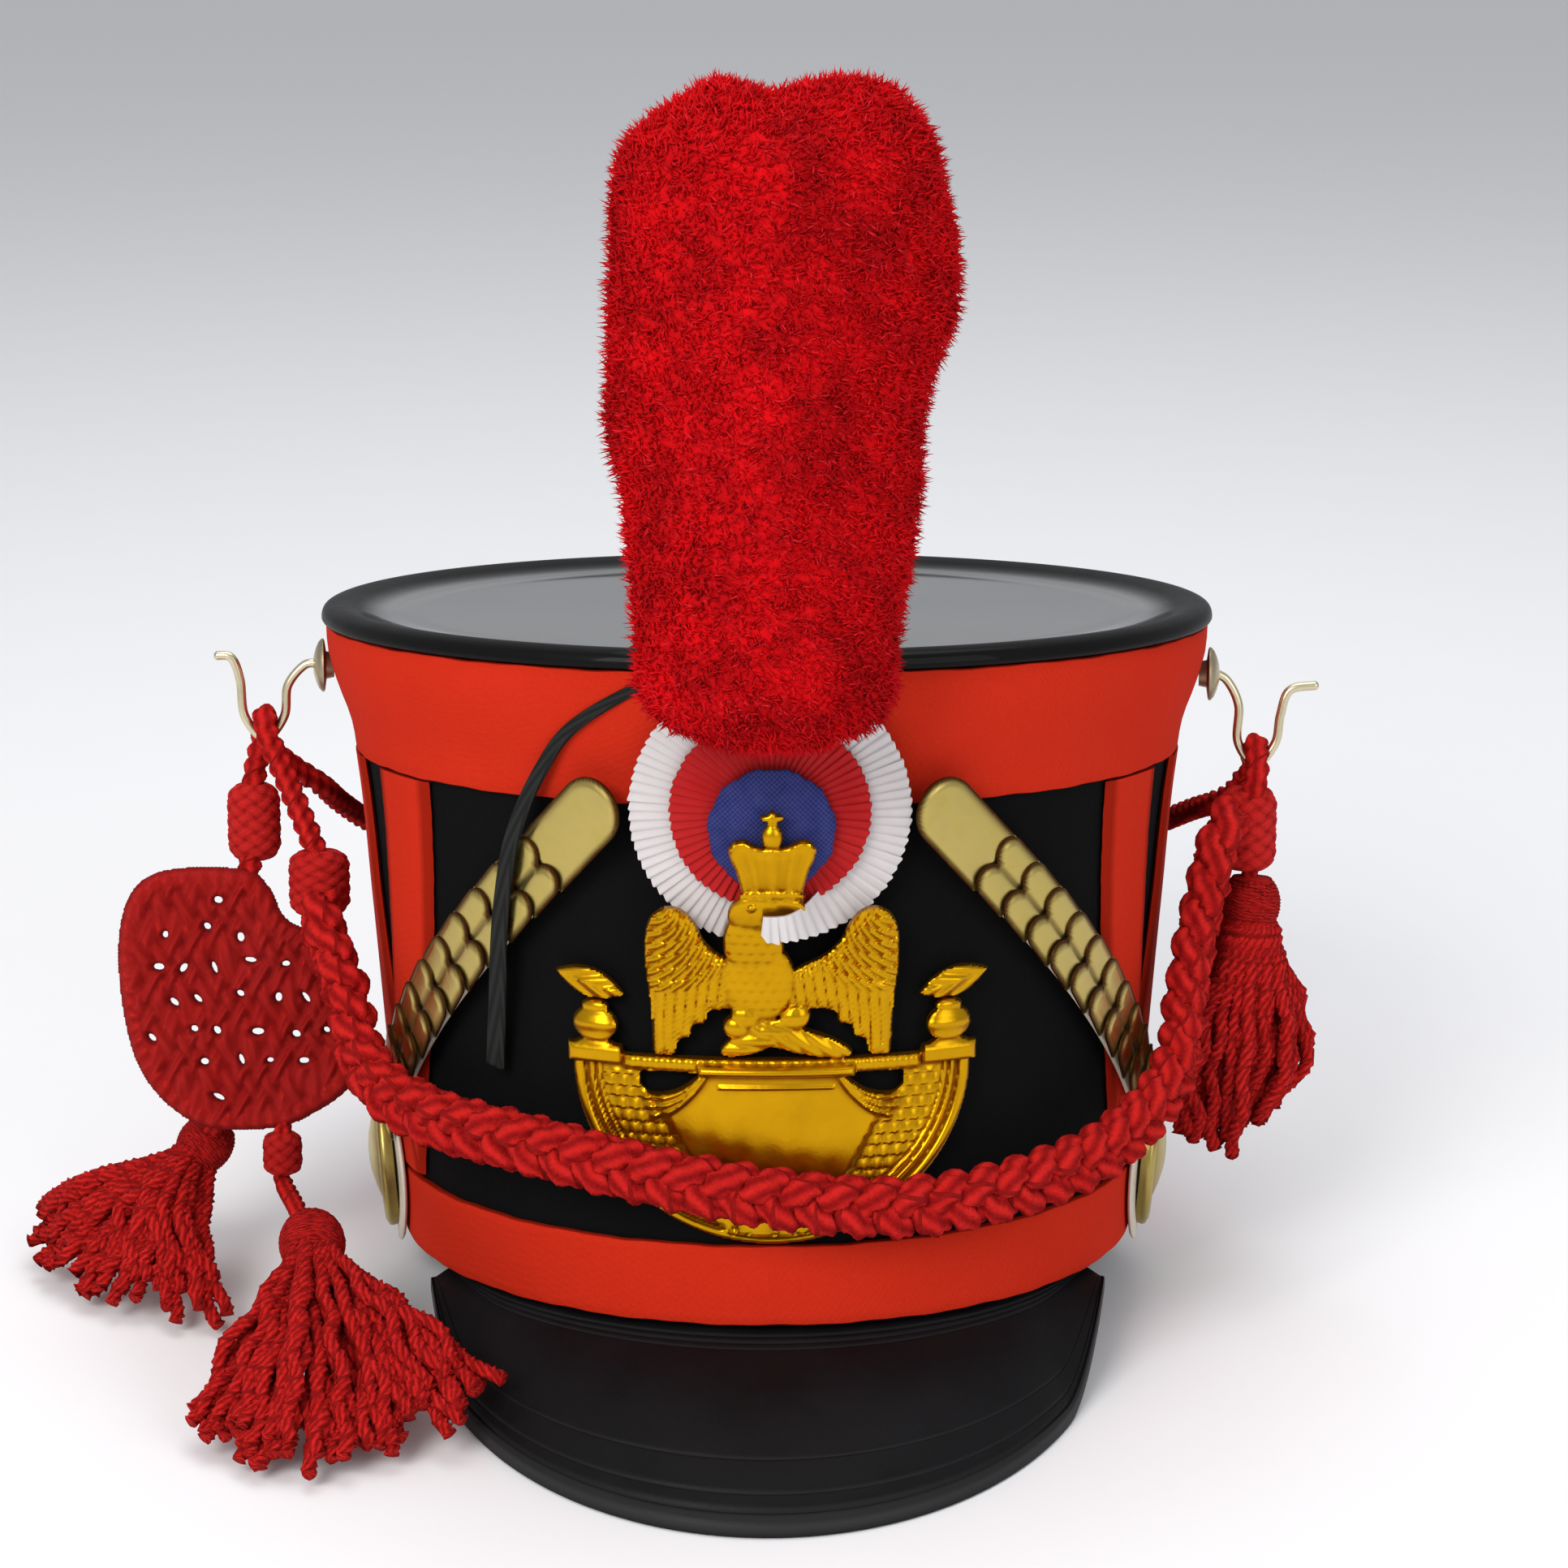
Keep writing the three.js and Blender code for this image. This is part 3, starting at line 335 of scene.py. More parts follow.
def alike(*values):
    """Values as arrays of one common shape."""
    return np.broadcast_arrays(*(np.asarray(v, float) for v in values))


def full_turn(count):
    """Angles spaced evenly round a circle."""
    return np.linspace(0, 2 * math.pi, count, endpoint=False)


def arch(share, least=0.0):
    """A round arch: 1 in the middle, and down to the least where the share reaches 1 on either side."""
    return np.sqrt(np.clip(1 - share**2, least, 1))


def rounded(share):
    """Rises steeply from 0 and levels off at 1, as a rounded edge does."""
    return np.sqrt(np.clip(share, 0, 1))


def hump(value, at, half):
    """A soft hump, 1 in its middle, that fades over its half width."""
    return np.exp(-(((value - at) / half) ** 2))


def on_hat(angle, z, out=0.0):
    """A point on the felt wall, by the angle round from the front, the height and the distance out."""
    angle, z, out = alike(angle, z, out)
    half = smooth(WALL, z)
    return np.stack([(half[..., 0] + out) * np.sin(angle), -(half[..., 1] + out) * np.cos(angle), z], -1)


def on_strap(sign, along, across, out):
    """A point over a chin strap's middle line, on the left with sign -1 and on the right with 1."""
    run = np.array([(STRAP_FOOT[0] - STRAP_HEAD[0]) * STRAP_UNROLLED, STRAP_HEAD[1] - STRAP_FOOT[1]])
    run = run / np.linalg.norm(run)
    arc = np.asarray(along) * run[0] + np.asarray(across) * run[1]
    z = STRAP_FOOT[1] + np.asarray(along) * run[1] - np.asarray(across) * run[0]
    return on_hat(sign * (STRAP_FOOT[0] - arc / STRAP_UNROLLED), z, out)


def strap_length():
    """The length of a chin strap's middle line."""
    return math.hypot((STRAP_FOOT[0] - STRAP_HEAD[0]) * STRAP_UNROLLED, STRAP_HEAD[1] - STRAP_FOOT[1])


def on_cockade(x, z, out):
    """A point in front of the wall where the cockade sits, by its place and its layer."""
    x, z, out = alike(x, z, out)
    depth = smooth(WALL, z)[..., 1] + 1 + 4.6 * np.clip((z - 97) / 31, 0, 1) + out
    return np.stack([x, -depth + 0.8 * x**2 / (2 * 107), z], -1)


def on_plate(x, z, height):
    """A point on the eagle plate, by its place and its height over the back of the plate."""
    x, z, height = alike(x, z, height)
    depth = smooth(PLATE_LEAN, z)[..., 0] + np.sqrt(np.maximum(PLATE_ROUND**2 - x**2, 1)) - PLATE_ROUND
    return np.stack([x, -(depth + height), z], -1)


def paint(red, green, blue):
    """A screen colour, each part up to 255, as linear light."""
    parts = np.array([red, green, blue]) / 255
    light = np.where(parts <= 0.04045, parts / 12.92, ((parts + 0.055) / 1.055) ** 2.4)
    return tuple(float(v) for v in light)


class Shape:
    """Closed solids, with face coordinates and a tone for each point, that become one mesh."""

    def __init__(self):
        self.points = []
        self.faces = []
        self.coords = []
        self.tones = []
        self.count = 0

    def add(self, points, faces, coords, tone):
        """A closed solid, turned so that its faces look outwards."""
        volume = 0.0
        for group in faces:
            a = points[group[:, 0]]
            for k in range(1, group.shape[1] - 1):
                volume += float((a * np.cross(points[group[:, k]], points[group[:, k + 1]])).sum())
        for group, place in zip(faces, coords):
            if volume < 0:
                group = group[:, ::-1]
                place = place[:, ::-1]
            self.faces.append(group + self.count)
            self.coords.append(place)
        self.points.append(points)
        self.tones.append(np.broadcast_to(np.asarray(tone, float), (len(points),)))
        self.count += len(points)

    def loft(self, rings, closed=False, size=(1.0, 1.0), tone=0.0):
        """A skin over rings of points. It either closes on itself or is capped at both ends.
        size is how many face coordinates it takes round a ring and along the rings."""
        rings = np.asarray(rings, float)
        n, m = rings.shape[:2]
        points = rings.reshape(-1, 3)
        tones = np.broadcast_to(np.asarray(tone, float), (n, m)).ravel()
        rows = n if closed else n - 1
        i, j = (v.ravel() for v in np.meshgrid(np.arange(rows), np.arange(m), indexing="ij"))
        nexti = (i + 1) % n
        nextj = (j + 1) % m
        quads = np.stack([i * m + j, i * m + nextj, nexti * m + nextj, nexti * m + j], 1)
        u = np.stack([j, j + 1, j + 1, j], 1) / m * size[0]
        v = np.stack([i, i, i + 1, i + 1], 1) / rows * size[1]
        faces = [quads]
        coords = [np.stack([u, v], -1)]
        if not closed:
            points = np.vstack([points, rings[0].mean(0), rings[-1].mean(0)])
            tones = np.concatenate([tones, [tones[0], tones[-1]]])
            j = np.arange(m)
            nextj = (j + 1) % m
            last = (n - 1) * m
            faces.append(np.stack([nextj, j, np.full(m, n * m)], 1))
            faces.append(np.stack([last + j, last + nextj, np.full(m, n * m + 1)], 1))
            for end in (0.0, size[1]):
                fan = np.stack([j, j + 1, j + 0.5], 1) / m * size[0]
                coords.append(np.stack([fan, np.full(fan.shape, end)], -1))
        self.add(points, faces, coords, tones)

    def relief(self, x, z, inside, place, height, back=0.0, tone=0.0):
        """A raised plate over a flat grid: it is kept where inside is above 0, and cut cleanly at 0.
        place(x, z, height) bends it, with height on the front and back behind."""
        shape = x.shape
        index = np.arange(x.size).reshape(shape)
        a, b, c, d = (v.ravel() for v in (index[:-1, :-1], index[1:, :-1], index[1:, 1:], index[:-1, 1:]))
        cells = np.concatenate([np.stack([a, b, c], 1), np.stack([a, c, d], 1)])
        level = inside.ravel()
        kept = level > 0
        corners = kept[cells].sum(1)
        flat = [np.broadcast_to(v, shape).ravel().astype(float) for v in (x, z, height, back, tone)]

        def lead(group, wanted):
            """The group's triangles, each turned to start at its one corner that is or isn't kept."""
            first = np.argmax(kept[group] == wanted, axis=1)
            rows = np.arange(len(group))
            return [group[rows, (first + k) % 3] for k in range(3)]

        one = lead(cells[corners == 1], True)
        two = lead(cells[corners == 2], False)
        pairs = [(one[0], one[1]), (one[0], one[2]), (two[0], two[1]), (two[0], two[2])]
        ends = np.sort(np.concatenate([np.stack(p, 1) for p in pairs]), axis=1)
        edges, where = np.unique(ends, axis=0, return_inverse=True)
        where = where.ravel() + x.size
        cuts = np.cumsum([len(p[0]) for p in pairs])
        ab, ac, de, df = np.split(where, cuts[:-1])
        share = level[edges[:, 0]] / (level[edges[:, 0]] - level[edges[:, 1]])
        full = [np.concatenate([v, v[edges[:, 0]] * (1 - share) + v[edges[:, 1]] * share]) for v in flat]
        front = np.concatenate(
            [
                cells[corners == 3],
                np.stack([one[0], ab, ac], 1),
                np.stack([de, two[1], two[2]], 1),
                np.stack([de, two[2], df], 1),
            ]
        )
        rim = np.concatenate([np.stack([ab, ac], 1), np.stack([df, de], 1)])
        used, front = np.unique(front, return_inverse=True)
        front = front.reshape(-1, 3)
        rim = np.searchsorted(used, rim)
        px, pz, ph, pb, pt = (v[used] for v in full)
        total = len(used)
        points = np.vstack([place(px, pz, ph), place(px, pz, pb)])
        walls = np.stack([rim[:, 1], rim[:, 0], rim[:, 0] + total, rim[:, 1] + total], 1)
        flat_place = np.stack([px, pz], -1)
        twice = np.vstack([flat_place, flat_place])
        faces = [front, front[:, ::-1] + total, walls]
        self.add(points, faces, [twice[f] for f in faces], np.concatenate([pt, pt]))

    def mesh(self, name, sharp=None):
        """One mesh in metres. Edges that bend more than sharp, in degrees, are shaded as corners."""
        mesh = bpy.data.meshes.new(name)
        points = np.vstack(self.points)
        sizes = np.concatenate([np.full(len(f), f.shape[1]) for f in self.faces])
        corners = np.concatenate([f.ravel() for f in self.faces]).astype(np.int32)
        starts = np.concatenate([[0], np.cumsum(sizes)[:-1]]).astype(np.int32)
        mesh.vertices.add(len(points))
        mesh.vertices.foreach_set("co", points.astype(np.float32).ravel())
        mesh.loops.add(len(corners))
        mesh.loops.foreach_set("vertex_index", corners)
        mesh.polygons.add(len(sizes))
        mesh.polygons.foreach_set("loop_start", starts)
        layer = mesh.uv_layers.new(name="UVMap")
        flat = np.concatenate([c.reshape(-1, 2) for c in self.coords])
        layer.data.foreach_set("uv", flat.astype(np.float32).ravel())
        tone = mesh.attributes.new("tone", "FLOAT", "POINT")
        tone.data.foreach_set("value", np.concatenate(self.tones).astype(np.float32))
        mesh.update(calc_edges=True)
        mesh.validate()
        mesh.shade_smooth()
        if sharp is not None:
            mesh.set_sharp_from_angle(angle=math.radians(sharp))
        return mesh


class Wire:
    """One output of a material's nodes. Python's signs add the nodes that work the sum out."""

    def __init__(self, finish, socket):
        self.finish = finish
        self.socket = socket

    def __add__(self, other):
        return self.finish.math("ADD", self, other)

    def __sub__(self, other):
        return self.finish.math("SUBTRACT", self, other)

    def __rsub__(self, other):
        return self.finish.math("SUBTRACT", other, self)

    def __mul__(self, other):
        return self.finish.math("MULTIPLY", self, other)

    __radd__ = __add__
    __rmul__ = __mul__


class Nodes:
    """Adds nodes to a tree, and links them as it goes."""

    def find(self, sockets, key):
        """A socket in use, by its name, its identifier or its place in the row."""
        if isinstance(key, int):
            return sockets[key]
        return next(s for s in sockets if s.enabled and key in (s.identifier, s.name))

    def add(self, kind, settings, sockets, out):
        """Adds any node: its settings first, then its sockets by name, as values or links."""
        node = self.tree.nodes.new(kind)
        for key, value in (settings or {}).items():
            setattr(node, key, value)
        for key, value in (sockets or {}).items():
            socket = self.find(node.inputs, key)
            if isinstance(value, bpy.types.NodeSocket):
                self.tree.links.new(value, socket)
            elif socket.type == "RGBA":
                socket.default_value = (*tuple(value)[:3], 1)
            else:
                socket.default_value = value
        return self.find(node.outputs, out)


class Finish(Nodes):
    """A material, with its nodes written as sums of wires."""

    def __init__(self, name, **values):
        self.material = bpy.data.materials.new(name)
        self.material.use_nodes = True
        self.tree = self.material.node_tree
        self.surface = self.tree.nodes["Principled BSDF"]
        for key, value in values.items():
            self.surface.inputs[key.replace("_", " ").title().replace("Ior", "IOR")].default_value = value

    def node(self, kind, settings=None, sockets=None, out=0):
        """Adds any node and returns one of its outputs as a wire."""
        plain = {key: getattr(value, "socket", value) for key, value in (sockets or {}).items()}
        return Wire(self, self.add(kind, settings, plain, out))

    def math(self, operation, *values):
        """A sum of wires and numbers."""
        return self.node("ShaderNodeMath", {"operation": operation}, dict(enumerate(values)))

    def sine(self, value):
        """The sine of a wire."""
        return self.math("SINE", value)

    def clamp(self, value):
        """A wire held from 0 to 1."""
        return self.node("ShaderNodeClamp", None, {"Value": value})

    def step(self, value, low, high):
        """From 0 at low to 1 at high, eased."""
        names = {"Value": value, "From Min": low, "From Max": high}
        return self.node("ShaderNodeMapRange", {"interpolation_type": "SMOOTHSTEP"}, names)

    def mix(self, share, first, second):
        """A colour between two."""
        names = {"Factor_Float": share, "A_Color": first, "B_Color": second}
        return self.node("ShaderNodeMix", {"data_type": "RGBA"}, names, "Result_Color")

    def where(self):
        """The place on the object, in metres."""
        return self.node("ShaderNodeTexCoord", None, None, "Object")

    def parts(self, vector):
        """A vector's three parts."""
        return [self.node("ShaderNodeSeparateXYZ", None, {"Vector": vector}, k) for k in range(3)]

    def face_place(self):
        """The two face coordinates."""
        return self.parts(self.node("ShaderNodeTexCoord", None, None, "UV"))[:2]

    def value(self, name):
        """A number that the mesh keeps for each point."""
        return self.node("ShaderNodeAttribute", {"attribute_name": name}, None, "Fac")

    def noise(self, scale, detail=2.0, roughness=0.5):
        """A cloudy value from 0 to 1."""
        names = {"Vector": self.where(), "Scale": scale, "Detail": detail, "Roughness": roughness}
        return self.node("ShaderNodeTexNoise", None, names, "Fac")

    def cells(self, scale):
        """The distance to the nearest of scattered points."""
        return self.node("ShaderNodeTexVoronoi", None, {"Vector": self.where(), "Scale": scale}, "Distance")

    def feed(self, name, wire):
        """Links a wire to the surface."""
        self.tree.links.new(wire.socket, self.surface.inputs[name])

    def dress(self, colour, roughness, height, distance, strength):
        """Links the surface's colour and roughness, and raises its shading by a height over metres."""
        self.feed("Base Color", colour)
        self.feed("Roughness", roughness)
        names = {"Height": height, "Distance": distance, "Strength": strength}
        self.feed("Normal", self.node("ShaderNodeBump", None, names))


class Growth(Nodes):
    """A new geometry tree with named inputs."""

    def __init__(self, name, **inputs):
        self.tree = bpy.data.node_groups.new(name, "GeometryNodeTree")
        sockets = self.tree.interface
        for label, kind in {"Geometry": "Geometry", **inputs, "Material": "Material"}.items():
            sockets.new_socket(label, in_out="INPUT", socket_type="NodeSocket" + kind)
        sockets.new_socket("Geometry", in_out="OUTPUT", socket_type="NodeSocketGeometry")
        self.given = self.tree.nodes.new("NodeGroupInput").outputs
        self.end = self.tree.nodes.new("NodeGroupOutput")

    def node(self, kind, settings=None, out=0, **sockets):
        """Adds any node and returns one of its outputs. A socket's name has _ for each blank."""
        return self.add(kind, settings, {key.replace("_", " "): v for key, v in sockets.items()}, out)

    def math(self, operation, *values):
        """A sum of links and numbers."""
        return self.add("ShaderNodeMath", {"operation": operation}, dict(enumerate(values)), 0)

    def scaled(self, vector, share):
        """A vector times a number."""
        return self.node("ShaderNodeVectorMath", {"operation": "SCALE"}, Vector=vector, Scale=share)

    def chance(self, kind, **limits):
        """A random value for each point or copy."""
        return self.node("FunctionNodeRandomValue", {"data_type": kind}, "Value", **limits)

    def copy_of(self, label):
        """The shape of an object that is given as an input."""
        return self.node("GeometryNodeObjectInfo", None, "Geometry", Object=self.given[label])

    def facing(self, vector, **settings):
        """A turn that points an axis along a vector."""
        return self.node("FunctionNodeAlignRotationToVector", settings, Vector=vector)

    def named(self, name):
        """A direction that the geometry keeps under a name."""
        settings = {"data_type": "FLOAT_VECTOR"}
        return self.node("GeometryNodeInputNamedAttribute", settings, "Attribute", Name=name)

    def keep(self, geometry, name, value, domain="POINT"):
        """Keeps a value with the geometry under a name."""
        settings = {"data_type": "FLOAT", "domain": domain}
        names = {"Geometry": geometry, "Name": name, "Value": value}
        return self.add("GeometryNodeStoreNamedAttribute", settings, names, 0)

    def close(self, geometry):
        """Makes the copies real, gives them their material and ends the tree."""
        real = self.node("GeometryNodeRealizeInstances", Geometry=geometry)
        done = self.node("GeometryNodeSetMaterial", Geometry=real, Material=self.given["Material"])
        self.tree.links.new(done, self.end.inputs["Geometry"])
        return self.tree


def copies_tree():
    """Copies of one object on points that keep which way is ahead and which way is out."""
    grow = Growth("row_of_copies", Copy="Object")
    ahead = grow.facing(grow.named("ahead"), axis="X")
    turn = grow.facing(grow.named("outward"), axis="Z", pivot_axis="X")
    grow.tree.links.new(ahead, turn.node.inputs["Rotation"])
    names = {"Points": grow.given["Geometry"], "Instance": grow.copy_of("Copy"), "Rotation": turn}
    return grow.close(grow.node("GeometryNodeInstanceOnPoints", **names))


def yarn_tree(name):
    """Twisted yarn along every line of a mesh, with a lobed section that turns as it goes."""
    sizes = dict.fromkeys(("Radius", "Lobes", "Depth", "Twist", "Step"), "Float")
    grow = Growth(name, **sizes, Sides="Int")
    given = grow.given
    line = grow.node("GeometryNodeMeshToCurve", Mesh=given["Geometry"])
    line = grow.node("GeometryNodeResampleCurve", {"mode": "LENGTH"}, Curve=line, Length=given["Step"])
    run = grow.node("GeometryNodeSplineParameter", None, "Length")
    line = grow.keep(line, "along", run)
    tilt = grow.math("MULTIPLY", run, given["Twist"])
    line = grow.node("GeometryNodeSetCurveTilt", Curve=line, Tilt=tilt)
    names = {"Resolution": given["Sides"], "Radius": given["Radius"]}
    section = grow.node("GeometryNodeCurvePrimitiveCircle", **names)
    share = grow.node("GeometryNodeSplineParameter", None, "Factor")
    section = grow.keep(section, "turn", share)
    lobes = grow.math("MULTIPLY", grow.math("MULTIPLY", share, given["Lobes"]), 2 * math.pi)
    wave = grow.math("MULTIPLY_ADD", grow.math("COSINE", lobes), given["Depth"], 1.0)
    at = grow.scaled(grow.node("GeometryNodeInputPosition"), wave)
    section = grow.node("GeometryNodeSetPosition", Geometry=section, Position=at)
    skin = grow.node("GeometryNodeCurveToMesh", Curve=line, Profile_Curve=section, Fill_Caps=True)
    return grow.close(grow.node("GeometryNodeSetShadeSmooth", Geometry=skin))


def pile_tree():
    """Tufts scattered over a surface, standing out of it with a little disorder."""
    sizes = dict.fromkeys(("Density", "Least", "Most", "Lean"), "Float")
    grow = Growth("pile", Tuft="Object", **sizes, Seed="Int")
    given = grow.given
    seed = given["Seed"]
    surface = given["Geometry"]
    names = {"Mesh": surface, "Density": given["Density"], "Seed": seed}
    points = grow.node("GeometryNodeDistributePointsOnFaces", None, "Points", **names)
    normal = points.node.outputs["Normal"]
    lean = grow.chance("FLOAT_VECTOR", Min=(-1, -1, -1), Max=(1, 1, 1), Seed=seed)
    lean = grow.scaled(lean, given["Lean"])
    way = grow.add("ShaderNodeVectorMath", {"operation": "ADD"}, {0: normal, 1: lean}, 0)
    turn = grow.facing(way, axis="Z")
    tall = grow.chance("FLOAT", Min=given["Least"], Max=given["Most"], Seed=seed)
    names = {"Points": points, "Instance": grow.copy_of("Tuft"), "Rotation": turn, "Scale": tall}
    tufts = grow.node("GeometryNodeInstanceOnPoints", **names)
    tufts = grow.keep(tufts, "shade", grow.chance("FLOAT", Seed=7), "INSTANCE")
    both = grow.node("GeometryNodeJoinGeometry", Geometry=tufts)
    grow.tree.links.new(surface, both.node.inputs["Geometry"])
    return grow.close(both)


def lines(paths):
    """A mesh of plain lines, one along each path of points in metres."""
    points = np.vstack(paths)
    edges = []
    start = 0
    for path in paths:
        edges += [(start + i, start + i + 1) for i in range(len(path) - 1)]
        start += len(path)
    mesh = bpy.data.meshes.new("lines")
    mesh.from_pydata(points.tolist(), edges, [])
    return mesh


def grown(name, mesh, tree, **inputs):
    """The mesh that a geometry tree makes from a source mesh, with its inputs set by their labels."""
    source = bpy.data.objects.new(name + "_source", mesh)
    bpy.context.scene.collection.objects.link(source)
    modifier = source.modifiers.new("grow", "NODES")
    modifier.node_group = tree
    sockets = {s.name: s.identifier for s in tree.interface.items_tree if s.in_out == "INPUT"}
    for label, value in inputs.items():
        modifier[sockets[label]] = value
    source.update_tag()
    bpy.context.view_layer.update()
    seen = source.evaluated_get(bpy.context.evaluated_depsgraph_get())
    made = bpy.data.meshes.new_from_object(seen)
    source.modifiers.clear()
    bpy.data.objects.remove(source)
    if len(made.polygons) == 0:
        raise RuntimeError(f"{name}: the geometry nodes made nothing")
    made.name = name
    return made


def show(name, made, finish, slot, *nodes, sharp=None):
    """Puts a shape or a mesh in the scene as a piece that stands for the named solids.
    Edges of a shape that bend more than sharp, in degrees, are shaded as corners."""
    mesh = made.mesh(name, sharp) if isinstance(made, Shape) else made
    mesh.materials.clear()
    mesh.materials.append(finish.material)
    piece = bpy.data.objects.new(name, mesh)
    bpy.context.scene.collection.objects.link(piece)
    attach(piece, "root")
    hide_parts(*nodes)
    return piece


def colour_property(name, description, *screen):
    """A colour that a user would change, given as a screen colour."""
    return bpy.props.FloatVectorProperty(
        name=name, description=description, subtype="COLOR", size=3, min=0, max=1, default=paint(*screen)
    )


def number_property(name, description, default, unit="NONE", **limits):
    """A size or a strength that a user would change."""
    return bpy.props.FloatProperty(name=name, description=description, unit=unit, default=default, **limits)


def count_property(name, description, low, high, default):
    """A number of like things that a user would change."""
    return bpy.props.IntProperty(name=name, description=description, min=low, max=high, default=default)


class ShakoCloth(bpy.types.PropertyGroup):
    """Colours of the felt, the bands and the cockade."""

    felt: colour_property("Felt", "Colour of the felt wall", 10, 10, 11)
    band: colour_property("Bands", "Colour of the bands and chevrons", 202, 40, 13)
    white: colour_property("Outer ribbon", "Colour of the cockade's outer ribbon", 218, 212, 212)
    red: colour_property("Middle ribbon", "Colour of the cockade's middle ribbon", 188, 16, 20)
    blue: colour_property("Centre", "Colour of the cockade's domed centre", 34, 44, 118)
    pleats: count_property("Pleats", "Number of folds round the outer ribbon", 24, 120, 84)


class ShakoYarn(bpy.types.PropertyGroup):
    """Colour and sizes of the braid, cords and tassels."""

    colour: colour_property("Yarn", "Colour of the yarn where light falls on it", 218, 26, 20)
    # The grooves colour is painted shade between the plies and in the weave's hollows.
    shade: colour_property("Grooves", "Colour of the yarn down in its grooves", 138, 8, 10)
    strands: count_property("Strands", "Number of strands in a tassel that lies on the floor", 20, 120, 72)
    strand: number_property("Strand", "Radius of a tassel's strand", YARNS["strand"][0] * MM, "LENGTH")


class ShakoPlume(bpy.types.PropertyGroup):
    """Colour and pile of the plume."""

    colour: colour_property("Wool", "Colour of the plume's wool", 214, 11, 20)
    tip: colour_property("Tips", "Colour of the wool's lightest tips", 232, 40, 50)
    tuft: number_property("Tuft length", "Length of a tuft of wool", 0.0031, "LENGTH")
    density: number_property("Density", "Tufts on a square metre of the plume", 1500000, min=1e4, max=3e6)


class ShakoMetal(bpy.types.PropertyGroup):
    """Colours of the brass."""

    plate: colour_property("Plate", "Colour of the eagle plate", 208, 154, 15)
    # The plate hollows colour is painted shade.
    plate_shade: colour_property("Plate hollows", "Colour of the plate's hollows", 128, 72, 12)
    scale: colour_property("Scales", "Colour of the chin scales and bosses", 190, 168, 86)
    # The scale edges colour is painted shade along the edges and grooves of the scales, bosses and hooks.
    scale_edge: colour_property("Scale edges", "Colour of the tarnish at the scales' edges", 74, 44, 18)


class ShakoLeather(bpy.types.PropertyGroup):
    """Colours of the leather."""

    black: colour_property("Black leather", "Colour of the crown and the peak", 22, 21, 23)
    strap: colour_property("Strap", "Colour of the chin straps", 222, 212, 192)
    lace: colour_property("Lace", "Colour of the lace beside the cockade", 34, 36, 34)


class ShakoStage(bpy.types.PropertyGroup):
    """The floor, the lights and the camera."""

    floor: colour_property("Floor", "Colour of the floor", 236, 236, 238)
    world: number_property("Room light", "Strength of the light from all round", 0.52)
    key: number_property("Key light", "Power of the light at the left", 23, "POWER")
    fill: number_property("Fill light", "Power of the light at the right", 9.5, "POWER")
    top: number_property("Top light", "Power of the light above", 13, "POWER")
    lens: number_property("Lens", "Focal length in mm", CAMERA_LENS, "CAMERA")


MADE = {}


def shared(name, build):
    """A finish or a tree that several pieces take, built the first time it is asked for."""
    if name not in MADE:
        MADE[name] = build(name)
    return MADE[name]


def darker(colour, share):
    """A colour scaled down."""
    return tuple(c * share for c in tuple(colour)[:3])


def lighter(colour, share):
    """A colour moved towards white."""
    return tuple(c + (1 - c) * share for c in tuple(colour)[:3])


def felt_finish(name):
    """Black felt: a fine nap with soft clouds in it."""
    look = bpy.context.scene.shako_cloth
    f = Finish(name, roughness=0.92, specular_ior_level=0.06)
    nap = f.noise(900, 4, 0.65)
    cloud = f.noise(26, 3, 0.5)
    share = nap * 0.6 + cloud * 0.4
    colour = f.mix(share, darker(look.felt, 0.45), lighter(look.felt, 0.003))
    f.dress(colour, 0.82 + 0.16 * nap, nap + 0.3 * f.noise(220, 2), 0.0004, 0.5)
    return f


def crown_finish(name):
    """Black leather: glossy on the flat top, and duller on the rolled rim, which is painted darker as shade."""
    look = bpy.context.scene.shako_leather
    f = Finish(name, coat_roughness=0.07, specular_ior_level=0.06)
    grain = f.cells(1400)
    wear = f.noise(60, 4, 0.6)
    rim = f.value("tone")
    top = f.mix(wear, darker(look.black, 0.5), lighter(look.black, 0.008))
    f.feed("Coat Weight", f.clamp(1 - 0.92 * rim))
    # Painted shade: the rolled rim's colour is darker than the top's.
    colour = f.mix(rim, top, darker(look.black, 0.4))
    f.dress(colour, 0.26 + 0.16 * wear + 0.06 * grain + 0.12 * rim, grain * 0.6 + f.noise(300, 3) * 0.5, 0.00012, 0.5)
    return f


def peak_finish(name):
    """Black leather of the peak: worn grain, and a painted highlight along its pressed lines and its edge."""
    look = bpy.context.scene.shako_leather
    f = Finish(name, specular_ior_level=0.08)
    grain = f.cells(1200)
    wear = f.noise(48, 4, 0.6)
    tone = f.value("tone")
    body = f.mix(wear, darker(look.black, 0.4), lighter(look.black, 0.001))
    # The tone paints a highlight along the pressed lines and the edge.
    colour = f.mix(tone, body, lighter(look.black, 0.022))
    f.dress(colour, 0.34 + 0.2 * wear + 0.05 * grain, grain * 0.5 + f.noise(260, 3) * 0.5, 0.00015, 0.5)
    return f


def band_finish(name):
    """Woollen cloth: a fine weave under a nap of fibres, with painted shade along its edges and at the band's seam.
    """
    colour = bpy.context.scene.shako_cloth.band
    f = Finish(name, roughness=0.9, specular_ior_level=0.05)
    fibre = f.noise(1300, 3, 0.7)
    cloud = f.noise(38, 3, 0.55)
    x, y, z = f.parts(f.where())
    threads = f.sine(z * 3000) * f.sine((x + y) * 3000)
    body = f.mix(fibre * 0.7 + cloud * 0.3, darker(colour, 0.74), lighter(colour, 0.008))
    # The tone is painted shade along the soft edges of the bands and chevrons, and down the band's seam.
    f.dress(f.mix(f.value("tone"), body, darker(colour, 0.4)), 0.82 + 0.16 * fibre, fibre * 0.5 + threads * 0.12, 0.0004, 0.55)
    return f


